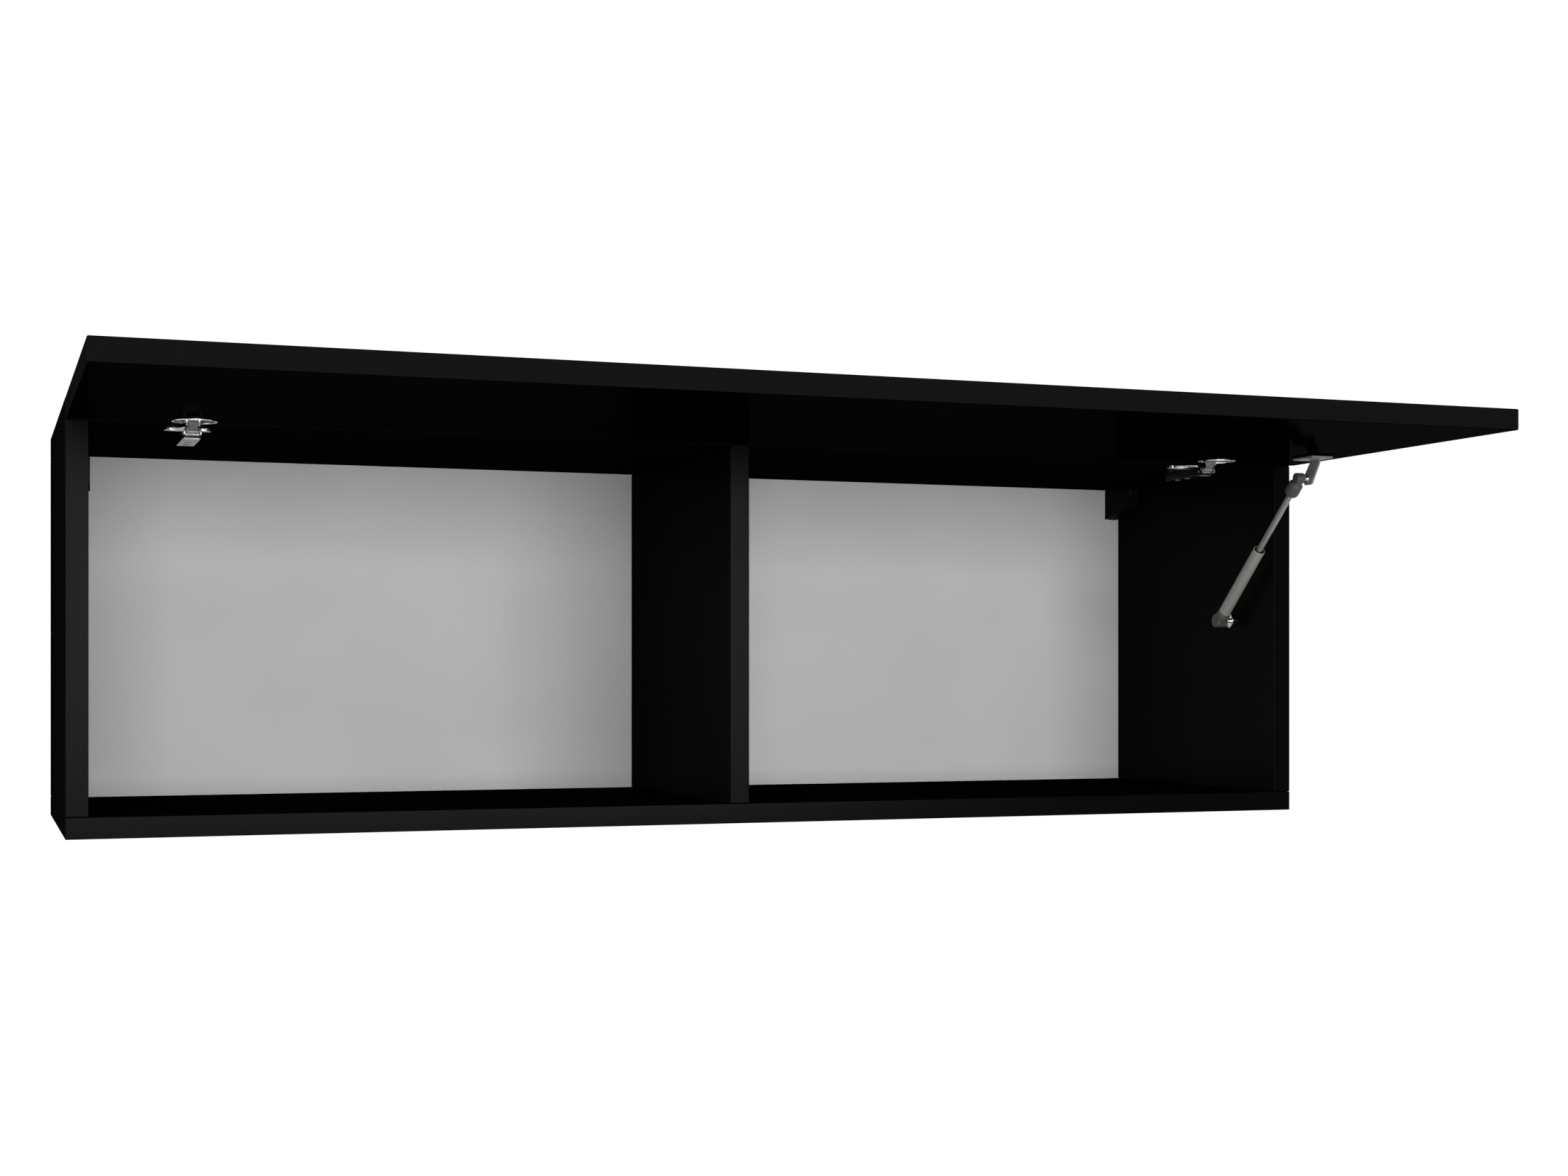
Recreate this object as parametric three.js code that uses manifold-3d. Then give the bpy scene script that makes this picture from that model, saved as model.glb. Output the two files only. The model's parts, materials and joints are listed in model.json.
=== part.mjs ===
// Lift up wall cabinet: a two bay carcass whose one door is hinged at the top and held up by a gas strut.
// Millimetres. X runs to the right, Y to the wall, Z up. The model is drawn with the door lifted level.
// Inside the model, z = 0 is the cabinet's underside and y = 0 is the wall. The exported group then moves
// the origin to the middle of the top panel's rear edge, which rests on the wall.
import * as THREE from "three";
import { RoundedBoxGeometry } from "three/addons/geometries/RoundedBoxGeometry.js";
import { mergeVertices } from "three/addons/utils/BufferGeometryUtils.js";
import Module from "manifold-3d";

const wasm = await Module();
wasm.setup();

// ---- Clearances that all pieces share ----
const fitClearance = 0.2; // between a fitting and what it is fastened to
const screwClearance = 0.15; // round a screw or a hinge pin
const runningClearance = 0.3; // between two pieces that move past each other
const holeEndRoom = 0.5; // beyond the end of a peg or a screw in its blind hole
const cutMargin = 1; // how far a cut runs past the face that it opens

// ---- Carcass and door ----
const cabinetWidth = 1150;
const cabinetHeight = 360;
const carcassDepth = 360;
const boardThickness = 18;
const boardEdgeRadius = 0.6;
const boardSeam = 0.2; // glue line between two boards
const backThickness = 3;
const backInset = 22; // free space behind the back panel
const grooveDepth = 6;
const doorThickness = 18;
const doorEdgeRadius = 1;
const doorGapShut = 2; // between the shut door and the carcass front
const doorGapOpen = 6.5; // between the lifted door's rear edge and the carcass front

// ---- Joining screws ----
const joiningScrewInset = 60; // from the carcass front, and from the back panel
const joiningScrewSink = 0.3;
const joiningScrew = {
  headRadius: 4.8,
  headDepth: 1.2,
  neckRadius: 3.4,
  neckLength: 17,
  threadRadius: 2.4,
  length: 48,
};

// ---- Cup hinges ----
const hingeEndDistance = 98.5; // cup centre to the cabinet's end
const cupRadius = 17.5;
const cupEdge = 4; // from the door's hinge edge to the cup
const cupDepth = 11.3;
const cupWall = 1.2;
const cupFlange = { thickness: 1.2, width: 0.7 };
const outerCupPivot = { behindRim: 5.75, inside: 3.75 }; // from the cup's rim, and from the door's underside
const innerCupPivot = { behindRim: 8.75, inside: 1.75 };
const armPivotReach = 19; // from the door's hinge axis to the inner link's pin
const armPivotSpacing = 3; // how much further away the outer link's pin is
const innerLinkHalfWidth = 4.1;
const linkSideThickness = 1.2;
const linkThickness = 2;
const linkEyeRadius = 2;
const linkTipRadius = 1.6; // outer link's eye in the cup
const linkTurn = { rimClearance: 1.35, pastRim: 1.75, lean: 2 }; // where the outer link turns up into the cup
const hingePinRadius = 1.1;
const hingePinHead = 0.4; // how far a pin stands out of the arm, each side
const armSheet = 1.2;
const armNoseRadius = 2.6;
const armCornerRadius = 1.1;
const armHeelStep = 2.4; // how much lower the arm's cheeks are at their rear end
const armOverhang = 2; // arm's rear end past the mounting plate's rail
const armPlateGap = 0.8; // between the arm's cheeks and the mounting plate's wings
const plateScrew = { distance: 37, spacing: 28 }; // distance behind the carcass front
const plateWing = { thickness: 2.2, overhang: 5 };
const plateRail = { front: 20, back: 60, slope: 2.8, cornerRadius: 1 };
const hingeScrew = {
  headRadius: 3.4,
  headDepth: 1.1,
  neckRadius: 1.7,
  neckLength: 1.5,
  threadRadius: 1.6,
  length: 12,
};

// ---- Gas strut, on the right side panel only ----
const strutInset = 13; // ball centres to the side panel's inner face
const strutFoot = { behindFront: 84, belowTop: 170 }; // lower ball, from the carcass's outer faces
const strutHead = { fromDoorEdge: 61.75, underDoor: 18.25 }; // upper ball, from the door's hinge edge
const strutFootFitting = 12.6; // lower ball to the cylinder
const strutHeadFitting = 21; // upper ball to the rod's shoulder
const cylinderLength = 91;
const cylinderRadius = 6;
const cylinderWall = 1.2;
const cylinderNeck = 2.5;
const cylinderFloor = 2;
const cylinderFootBevel = 1;
const cylinderMouthBevel = 1.5;
const rodRadius = 3;
const pistonLength = 6;
const ballRadius = 4;
const footSocket = { radius: 7, halfWidth: 6, neck: { radius: 6, length: 2 } };
const headSocket = { radius: 5.1, halfWidth: 5, neck: { radius: 4.6, length: 6 } };
const socketBlock = { radius: 7, shoulder: 2, endRadius: 6.2, endTaper: 2.5 };
const socketMouth = { step: 1, clearance: 1.2 };
const studNeckRadius = 2.4;
const threadStub = { radius: 2.2, length: 7 };
const footFlange = { radius: 7.25, thickness: 2.2 };
const footScrew = { radius: 2.75, length: 12 };
const headStudFlange = { radius: 4, thickness: 1.5 };
const strutBracket = { sheet: 2, width: 23, length: 35, panelGap: 2, clearOfBall: 7 };
const bracketTongue = { lobeRadius: 6, rootLength: 13 };
const bracketScrewPitch = 17;

// ---- Hangers, one in each upper rear corner ----
const hangerWidth = 16.4;
const hangerDraft = 3.8; // how much narrower a housing is at its front
const hangerDepth = 48.3;
const hangerRearHeight = 32.8;
const hangerFrontHeight = 21.8;
const hangerWall = 2;
const hangerCornerRadius = 1;
const hangerPeg = { radius: 4.8, length: 10.5, pitch: 24, inset: 11, drop: 11 };
const hookInset = 4.4; // side panel's inner face to the middle of the hook
const hookSheet = 3;
const hookBar = { drop: 8, height: 8, length: 59 }; // drop is from the top panel's underside
const hookLip = { thickness: 3, drop: 12, wallGap: 3 };
const hookTravel = 4; // each way
const hookWindowRoom = 1; // above and below the hook, at the ends of its travel
const hangerScrew = { radius: 2, length: 28, inset: 9.3, drop: 6, sink: 1 };
const crossSlot = { width: 0.6, span: 2.8, depth: 1 };

// ---- Roundness ----
const cupSides = 30;
const roundSides = 18;
const ballSides = 12;
const screwSides = 10;
const curveSteps = 3;
const linkSteps = 12;

// ---- Places that follow from the sizes ----
const sideInner = cabinetWidth / 2 - boardThickness;
const topUnderside = cabinetHeight - boardThickness;
const backRear = -backInset;
const backFront = backRear - backThickness;
const hingeX = cabinetWidth / 2 - hingeEndDistance;
const doorUnderside = cabinetHeight - doorThickness;
const doorRear = -(carcassDepth + doorGapOpen);
const cupEdgeDistance = cupEdge + cupRadius;
const cupFlangeTop = doorUnderside - fitClearance;
const cupFlangeBottom = cupFlangeTop - cupFlange.thickness;
const plateTop = topUnderside - fitClearance;
const plateWingBottom = plateTop - plateWing.thickness;
const outerLinkHalfWidth = innerLinkHalfWidth + runningClearance + linkSideThickness;
const armInnerHalf = outerLinkHalfWidth + runningClearance;
const armHalfWidth = armInnerHalf + armSheet;

// ---- Colours ----
const finishes = {
  board: { color: 0x1c1b1d, roughness: 0.35, metalness: 0 },
  gloss: { color: 0x0b0b0c, roughness: 0.08, metalness: 0 },
  back: { color: 0xc9c9c8, roughness: 0.6, metalness: 0 },
  nickel: { color: 0xb9b8b4, roughness: 0.25, metalness: 1 },
  zinc: { color: 0xa4a6a8, roughness: 0.4, metalness: 1 },
  cylinder: { color: 0x87868a, roughness: 0.3, metalness: 1 },
  chrome: { color: 0xc8c8c8, roughness: 0.1, metalness: 1 },
  plastic: { color: 0x3d3d40, roughness: 0.5, metalness: 0 },
  cover: { color: 0x19191a, roughness: 0.5, metalness: 0 },
  blacked: { color: 0x171717, roughness: 0.5, metalness: 1 },
};

// ---- Joining and cutting ----
function solidOf(geometry) {
  const bare = geometry.clone();
  bare.deleteAttribute("normal");
  bare.deleteAttribute("uv");
  const merged = mergeVertices(bare, 1e-4);
  const vertProperties = merged.attributes.position.array;
  const triVerts = new Uint32Array(merged.index.array);
  return new wasm.Manifold(new wasm.Mesh({ numProp: 3, vertProperties, triVerts }));
}

function geometryOf(solid) {
  const { vertProperties, triVerts } = solid.getMesh();
  const geometry = new THREE.BufferGeometry();
  geometry.setAttribute("position", new THREE.BufferAttribute(vertProperties, 3));
  geometry.setIndex(new THREE.BufferAttribute(triVerts, 1));
  geometry.computeVertexNormals();
  return geometry;
}

function join(first, ...others) {
  return geometryOf(others.reduce((whole, other) => whole.add(solidOf(other)), solidOf(first)));
}

function cut(base, ...tools) {
  return geometryOf(tools.reduce((rest, tool) => rest.subtract(solidOf(tool)), solidOf(base)));
}

// ---- Shapes ----
function block(x0, x1, y0, y1, z0, z1) {
  const box = new THREE.BoxGeometry(x1 - x0, y1 - y0, z1 - z0);
  return box.translate((x0 + x1) / 2, (y0 + y1) / 2, (z0 + z1) / 2);
}

// A panel with slightly rounded edges.
function board(x0, x1, y0, y1, z0, z1, radius = boardEdgeRadius) {
  const box = new RoundedBoxGeometry(x1 - x0, y1 - y0, z1 - z0, 1, radius);
  return box.translate((x0 + x1) / 2, (y0 + y1) / 2, (z0 + z1) / 2);
}

// A rod along X, Y or Z between two ends, at the other two coordinates.
function rodAlong(axis, radius, [from, to], [x, y, z] = [0, 0, 0], sides = roundSides) {
  const rod = new THREE.CylinderGeometry(radius, radius, Math.abs(to - from), sides);
  const middle = (from + to) / 2;
  if (axis === "x") rod.rotateZ(-Math.PI / 2).translate(middle, y, z);
  if (axis === "y") rod.translate(x, middle, z);
  if (axis === "z") rod.rotateX(Math.PI / 2).translate(x, y, middle);
  return rod;
}

// A hole's polygon is drawn round its circle, so that a round piece of that size passes through.
function boreAlong(axis, radius, ends, centre, sides = roundSides) {
  return rodAlong(axis, radius / Math.cos(Math.PI / sides), ends, centre, sides);
}

// A turned piece about +Z. Its profile lists [radius, height] from the bottom up, and closes on the axis.
function turned(profile, sides = roundSides) {
  const points = profile.map(([radius, height]) => new THREE.Vector2(radius, height));
  return new THREE.LatheGeometry(points, sides).rotateX(Math.PI / 2);
}

function ball(radius) {
  return new THREE.SphereGeometry(radius, ballSides, ballSides / 2);
}

// An outline in the Y-Z plane with rounded corners.
function outline(points, radius) {
  const corners = points.map(([y, z]) => new THREE.Vector2(y, z));
  const shape = new THREE.Shape();
  corners.forEach((corner, i) => {
    const before = corners[(i + corners.length - 1) % corners.length];
    const after = corners[(i + 1) % corners.length];
    const enter = corner.clone().add(before.clone().sub(corner).setLength(radius));
    const leave = corner.clone().add(after.clone().sub(corner).setLength(radius));
    if (i === 0) shape.moveTo(enter.x, enter.y);
    else shape.lineTo(enter.x, enter.y);
    shape.quadraticCurveTo(corner.x, corner.y, leave.x, leave.y);
  });
  shape.closePath();
  return shape;
}

// A strip of even width along a line in the Y-Z plane.
function strip(line, width, steps) {
  const places = Array.from({ length: steps + 1 }, (_, i) => i / steps);
  const edge = (sign) =>
    places.map((t) => {
      const tangent = line.getTangent(t);
      const offset = new THREE.Vector2(-tangent.y, tangent.x).multiplyScalar((sign * width) / 2);
      return line.getPoint(t).add(offset);
    });
  return new THREE.Shape([...edge(-1), ...edge(1).reverse()]);
}

// Gives an outline in the Y-Z plane its thickness, from x0 to x1.
function plate(shape, x0, x1) {
  const settings = { depth: x1 - x0, bevelEnabled: false, curveSegments: curveSteps };
  const geometry = new THREE.ExtrudeGeometry(shape, settings);
  const yAxis = new THREE.Vector3(0, 1, 0);
  const zAxis = new THREE.Vector3(0, 0, 1);
  const xAxis = new THREE.Vector3(1, 0, 0);
  return geometry.applyMatrix4(new THREE.Matrix4().makeBasis(yAxis, zAxis, xAxis)).translate(x0, 0, 0);
}

// A flat plate in the X-Y plane with round ends, between two end centres on a line along X.
function slotPlate(halfLength, endRadius, y, z0, z1) {
  const shape = new THREE.Shape();
  shape.absarc(halfLength, 0, endRadius, -Math.PI / 2, Math.PI / 2);
  shape.absarc(-halfLength, 0, endRadius, Math.PI / 2, (3 * Math.PI) / 2);
  shape.closePath();
  const settings = { depth: z1 - z0, bevelEnabled: false, curveSegments: 2 * curveSteps };
  return new THREE.ExtrudeGeometry(shape, settings).translate(0, y, z0);
}

// A screw about +Z whose head's outer face is at z = 0 and whose point is at z = length.
function screw(size, grow = 0, headStart = 0) {
  const coneEnd = size.headDepth + size.headRadius - size.neckRadius;
  const neckEnd = coneEnd + size.neckLength;
  const threadStart = neckEnd + size.neckRadius - size.threadRadius;
  const profile = [
    [0, headStart],
    [size.headRadius + grow, headStart],
    [size.headRadius + grow, size.headDepth],
    [size.neckRadius + grow, coneEnd],
    [size.neckRadius + grow, neckEnd],
    [size.threadRadius + grow, threadStart],
    [size.threadRadius + grow, size.length + grow],
    [0, size.length + grow],
  ];
  return turned(profile, screwSides);
}

// The same screw's hole, which runs on out of the surface.
function screwHole(size) {
  return screw(size, screwClearance, -size.headDepth);
}

// Makes something for the left and the right, or for the front and the back.
function pair(make) {
  return [-1, 1].flatMap(make);
}

// ---- The tree of named pieces ----
const cabinet = new THREE.Group();

function add(parent, name, geometry, finish) {
  const mesh = new THREE.Mesh(geometry, new THREE.MeshStandardMaterial(finishes[finish]));
  mesh.name = name;
  parent.add(mesh);
}

// Hinges and strut are drawn from the carcass front, y = 0, and from their own middle plane, x = 0.
function groupAtFront(x) {
  const group = new THREE.Group();
  group.position.set(x, -carcassDepth, 0);
  cabinet.add(group);
  return group;
}

// ---- Joining screws through the top and bottom panels into the upright boards ----
const uprights = [
  { name: "left_side", x: -(cabinetWidth - boardThickness) / 2 },
  { name: "divider", x: 0 },
  { name: "right_side", x: (cabinetWidth - boardThickness) / 2 },
];
const joiningRows = [
  { name: "front", y: -(carcassDepth - joiningScrewInset) },
  { name: "rear", y: backFront - joiningScrewInset },
];
const bottomFace = {
  name: "bottom",
  place: (piece) => piece.translate(0, 0, joiningScrewSink),
};
const topFace = {
  name: "top",
  place: (piece) => piece.rotateX(Math.PI).translate(0, 0, cabinetHeight - joiningScrewSink),
};

function joiningScrewHoles(face, boards = uprights) {
  return boards.flatMap(({ x }) =>
    joiningRows.map(({ y }) => face.place(screwHole(joiningScrew)).translate(x, y, 0)),
  );
}

function addJoiningScrews() {
  for (const face of [bottomFace, topFace])
    for (const upright of uprights)
      for (const row of joiningRows) {
        const piece = face.place(screw(joiningScrew)).translate(upright.x, row.y, 0);
        add(cabinet, `joining_screw_${face.name}_${upright.name}_${row.name}`, piece, "zinc");
      }
}

// ---- Carcass boards ----
function backGroove(x0, x1, z0, z1) {
  return block(x0, x1, backFront - fitClearance, backRear + fitClearance, z0, z1);
}

function addTopAndBottom() {
  const halfWidth = cabinetWidth / 2;
  const grooveEnd = sideInner + grooveDepth;
  const plateHoles = plateScrewPlaces().map(hingeScrewHole);
  const bottom = cut(
    board(-halfWidth, halfWidth, -carcassDepth, 0, 0, boardThickness),
    backGroove(-grooveEnd, grooveEnd, boardThickness - grooveDepth, boardThickness + cutMargin),
    ...joiningScrewHoles(bottomFace),
  );
  const top = cut(
    board(-halfWidth, halfWidth, -carcassDepth, 0, topUnderside, cabinetHeight),
    backGroove(-grooveEnd, grooveEnd, topUnderside - cutMargin, topUnderside + grooveDepth),
    ...joiningScrewHoles(topFace),
    ...pair((side) => plateHoles.map((hole) => hole.clone().translate(side * hingeX, -carcassDepth, 0))),
  );
  add(cabinet, "bottom_panel", bottom, "board");
  add(cabinet, "top_panel", top, "board");
}

// The upright boards stand between the bottom and the top panel.
const uprightBottom = boardThickness + boardSeam;
const uprightTop = topUnderside - boardSeam;

// Depths into the side panel's inner face, or out of it where negative, become x on either side.
function intoSide(side, ...depths) {
  return depths.map((depth) => side * (sideInner + depth)).sort((a, b) => a - b);
}

function addSide(side, upright) {
  const panel = board(...intoSide(side, 0, boardThickness), -carcassDepth, 0, uprightBottom, uprightTop);
  const groove = intoSide(side, -cutMargin, grooveDepth);
  const holes = [
    ...joiningScrewHoles(bottomFace, [upright]),
    ...joiningScrewHoles(topFace, [upright]),
    ...hangerPegHoles(side),
    ...(side > 0 ? [strutFootHole()] : []),
  ];
  const cuts = [backGroove(...groove, uprightBottom - cutMargin, uprightTop + cutMargin), ...holes];
  add(cabinet, `${upright.name}_panel`, cut(panel, ...cuts), "board");
}

function addDivider(upright) {
  const half = boardThickness / 2;
  const panel = board(-half, half, -carcassDepth, backFront - fitClearance, uprightBottom, uprightTop);
  const holes = [...joiningScrewHoles(bottomFace, [upright]), ...joiningScrewHoles(topFace, [upright])];
  add(cabinet, "middle_divider", cut(panel, ...holes), "board");
}

// The back panel sits in the boards' grooves, with a window for each hanger's hook.
function addBack() {
  const tongue = grooveDepth - holeEndRoom;
  const halfWidth = sideInner + tongue;
  const [low, high] = [boardThickness - tongue, topUnderside + tongue];
  const panel = block(-halfWidth, halfWidth, backFront, backRear, low, high);
  const windowTop = hookTop + hookTravel + hookWindowRoom;
  const windowBottom = hookTop - hookBar.height - hookLip.drop - hookTravel - hookWindowRoom;
  const windows = pair((side) => {
    const [x0, x1] = intoSide(side, -hangerWall, hangerWall - hangerWidth);
    return block(x0, x1, backFront - cutMargin, backRear + cutMargin, windowBottom, windowTop);
  });
  add(cabinet, "back_panel", cut(panel, ...windows), "back");
}

// ---- Door ----
function addDoor() {
  const sides = [-cabinetWidth / 2, cabinetWidth / 2];
  const doorFront = doorRear - cabinetHeight;
  const panel = board(...sides, doorFront, doorRear, doorUnderside, cabinetHeight, doorEdgeRadius);
  const pocketEnds = [doorUnderside - cutMargin, doorUnderside + cupDepth + runningClearance];
  const cupHole = (side) => {
    const place = [side * hingeX, cupCentre - carcassDepth, 0];
    return boreAlong("z", cupRadius + fitClearance, pocketEnds, place, cupSides);
  };
  const cuts = [
    ...pair(cupHole),
    ...bracketScrewPlaces().map((place) => hingeScrewHole(place).translate(strutX, -carcassDepth, 0)),
  ];
  add(cabinet, "door_panel", cut(panel, ...cuts), "gloss");
}

// Places in the Y-Z plane from here on: y from the carcass front, z from the underside.
// The door turns about one axis that takes it from doorGapOpen, lifted, to doorGapShut, shut.
const hingeAxis = new THREE.Vector2(
  -(doorThickness + doorGapShut + doorGapOpen) / 2,
  cabinetHeight - (doorThickness + doorGapShut - doorGapOpen) / 2,
);

function onLiftedDoor(fromDoorEdge, aboveUnderside) {
  return new THREE.Vector2(-doorGapOpen - fromDoorEdge, doorUnderside + aboveUnderside);
}

// Where a place on the lifted door lies once the door is shut, a quarter turn down.
function onShutDoor(place) {
  const arm = place.clone().sub(hingeAxis);
  return new THREE.Vector2(hingeAxis.x - arm.y, hingeAxis.y + arm.x);
}

// ---- Cup hinges ----
const cupCentre = -(doorGapOpen + cupEdgeDistance);
const outerTip = onLiftedDoor(cupEdge + outerCupPivot.behindRim, outerCupPivot.inside);
const innerTip = onLiftedDoor(cupEdge + innerCupPivot.behindRim, innerCupPivot.inside);

// The arm's pivot is as far from a link's place in the cup with the door lifted as with it shut.
function armPivot(tip, reach) {
  const middle = tip.clone().lerp(onShutDoor(tip), 0.5);
  return hingeAxis.clone().add(middle.sub(hingeAxis).setLength(reach));
}

const outerPivot = armPivot(outerTip, armPivotReach + armPivotSpacing);
const innerPivot = armPivot(innerTip, armPivotReach);
const armWebTop = outerPivot.y - armNoseRadius;
const armBottom = armWebTop - armSheet;

function plateScrewPlaces() {
  return pair((side) => [[(side * plateScrew.spacing) / 2, plateScrew.distance, plateWingBottom]]);
}

function hingeScrewHole([x, y, z]) {
  return screwHole(hingeScrew).translate(x, y, z);
}

// Two screwed wings, and between them a rail that the arm slides on.
function mountingPlate() {
  const { spacing, distance } = plateScrew;
  const wing = slotPlate(spacing / 2, plateWing.overhang, distance, plateWingBottom, plateTop);
  const halfWidth = outerLinkHalfWidth - runningClearance;
  const railBottom = armWebTop + runningClearance;
  const { front, back, slope, cornerRadius } = plateRail;
  const rail = [
    [front, plateTop],
    [front + slope, railBottom],
    [back - slope, railBottom],
    [back, plateTop],
  ];
  const holes = plateScrewPlaces().map(hingeScrewHole);
  return cut(join(wing, plate(outline(rail, cornerRadius), -halfWidth, halfWidth)), ...holes);
}

// The arm is a channel over the rail. Its web ends behind the links, and its nose carries both pins.
function arm() {
  const back = plateRail.back + armOverhang;
  const cheekTop = plateWingBottom - armPlateGap;
  const noseFront = innerPivot.x - armNoseRadius;
  const noseTop = innerPivot.y + armNoseRadius;
  const cheek = [
    [noseFront, noseTop],
    [noseFront, armBottom + armNoseRadius],
    [outerPivot.x, armBottom],
    [back, armBottom],
    [back, cheekTop - armHeelStep],
    [plateRail.front, cheekTop],
    [innerPivot.x + 2 * armNoseRadius, noseTop],
  ];
  const webFront = outerPivot.x + linkEyeRadius + 2 * armSheet;
  const [low, high] = [armBottom - cutMargin, cheekTop + cutMargin];
  const front = noseFront - cutMargin;
  return cut(
    plate(outline(cheek, armCornerRadius), -armHalfWidth, armHalfWidth),
    block(-armInnerHalf, armInnerHalf, front, back + cutMargin, armWebTop, high),
    block(-armInnerHalf, armInnerHalf, front, webFront, low, high),
    pinHole(outerPivot, armHalfWidth),
    pinHole(innerPivot, armHalfWidth),
  );
}

function pinHole({ x, y }, halfWidth) {
  const ends = [-halfWidth - cutMargin, halfWidth + cutMargin];
  return boreAlong("x", hingePinRadius + screwClearance, ends, [0, x, y], screwSides);
}

// A pressed bowl with a collar, pushed into the door.
function cup() {
  const floor = doorUnderside + cupDepth;
  const centre = [0, cupCentre, 0];
  const whole = join(
    rodAlong("z", cupRadius, [cupFlangeBottom, floor], centre, cupSides),
    rodAlong("z", cupRadius + cupFlange.width, [cupFlangeBottom, cupFlangeTop], centre, cupSides),
  );
  const hollow = [cupFlangeBottom - cutMargin, floor - cupWall];
  return cut(whole, rodAlong("z", cupRadius - cupWall, hollow, centre, cupSides));
}

// From its arm pivot the outer link rises to the cup's rim, passes under it and turns up into the cup.
function outerLinkLine() {
  const rimX = -(doorGapOpen + cupEdge + cupWall);
  const turnX = rimX - linkTurn.pastRim;
  const turnZ = cupFlangeBottom - linkTurn.rimClearance - linkThickness / 2;
  const turn = new THREE.Vector2(turnX, turnZ);
  const rise = new THREE.Vector2(outerPivot.x - linkTurn.lean, turnZ);
  const entry = new THREE.Vector2(outerTip.x, turnZ);
  const line = new THREE.CurvePath();
  line.add(new THREE.QuadraticBezierCurve(outerPivot, rise, turn));
  line.add(new THREE.QuadraticBezierCurve(turn, entry, outerTip));
  return line;
}

// A pair of curved sides on one rolled eye, with room for the inner link between them.
function outerLink() {
  const { x: tipY, y: tipZ } = outerTip;
  const { x: pivotY, y: pivotZ } = outerPivot;
  const shape = strip(outerLinkLine(), linkThickness, linkSteps);
  const sides = pair((side) => {
    const ends = [side * outerLinkHalfWidth, side * (outerLinkHalfWidth - linkSideThickness)];
    const [x0, x1] = ends.sort((a, b) => a - b);
    return [plate(shape, x0, x1), rodAlong("x", linkTipRadius, [x0, x1], [0, tipY, tipZ], screwSides)];
  });
  const across = [-outerLinkHalfWidth, outerLinkHalfWidth];
  const eye = rodAlong("x", linkEyeRadius, across, [0, pivotY, pivotZ]);
  return cut(join(eye, ...sides), pinHole(outerPivot, outerLinkHalfWidth));
}

function innerLink() {
  const across = [-innerLinkHalfWidth, innerLinkHalfWidth];
  const shank = strip(new THREE.LineCurve(innerPivot, innerTip), linkThickness, 1);
  const eyes = [innerPivot, innerTip].map(({ x, y }) =>
    rodAlong("x", linkEyeRadius, across, [0, x, y], ballSides),
  );
  return cut(join(plate(shank, ...across), ...eyes), pinHole(innerPivot, innerLinkHalfWidth));
}

function armPin({ x, y }) {
  const half = armHalfWidth + hingePinHead;
  return rodAlong("x", hingePinRadius, [-half, half], [0, x, y], screwSides);
}

function addHinge(side) {
  const name = side < 0 ? "hinge_left" : "hinge_right";
  const hinge = groupAtFront(side * hingeX);
  add(hinge, `${name}_mounting_plate`, mountingPlate(), "nickel");
  add(hinge, `${name}_arm`, arm(), "nickel");
  add(hinge, `${name}_cup`, cup(), "nickel");
  add(hinge, `${name}_outer_link`, outerLink(), "nickel");
  add(hinge, `${name}_inner_link`, innerLink(), "nickel");
  add(hinge, `${name}_outer_link_pin`, armPin(outerPivot), "chrome");
  add(hinge, `${name}_inner_link_pin`, armPin(innerPivot), "chrome");
  addScrews(hinge, `${name}_plate_screw`, plateScrewPlaces());
}

function addScrews(group, name, places) {
  places.forEach((place, i) => {
    add(group, `${name}_${i + 1}`, screw(hingeScrew).translate(...place), "zinc");
  });
}

// ---- Gas strut ----
const strutX = sideInner - strutInset;
const footBall = new THREE.Vector2(strutFoot.behindFront, cabinetHeight - strutFoot.belowTop);
const headBall = onLiftedDoor(strutHead.fromDoorEdge, -strutHead.underDoor);
const strutLength = headBall.distanceTo(footBall);
const tongueInner = strutInset - strutBracket.panelGap - strutBracket.sheet;
const tongueOuter = tongueInner + strutBracket.sheet;

function strutFootHole() {
  const place = [0, footBall.x - carcassDepth, footBall.y];
  const ends = intoSide(1, -cutMargin, footScrew.length + holeEndRoom);
  return boreAlong("x", footScrew.radius + screwClearance, ends, place);
}

// The lower ball stud is screwed into the side panel.
function footStud() {
  const seat = strutInset - fitClearance;
  const piece = join(
    ball(ballRadius),
    rodAlong("x", studNeckRadius, [0, seat]),
    rodAlong("x", footFlange.radius, [seat - footFlange.thickness, seat]),
    rodAlong("x", footScrew.radius, [seat - footFlange.thickness, strutInset + footScrew.length]),
  );
  return piece.translate(0, footBall.x, footBall.y);
}

// The upper ball stud stays with the strut and ends just short of the door's bracket.
function headStud() {
  const end = tongueInner - runningClearance;
  const piece = join(
    ball(ballRadius),
    rodAlong("x", studNeckRadius, [0, end]),
    rodAlong("x", headStudFlange.radius, [end - headStudFlange.thickness, end]),
  );
  return piece.translate(0, 0, strutLength);
}

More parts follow.
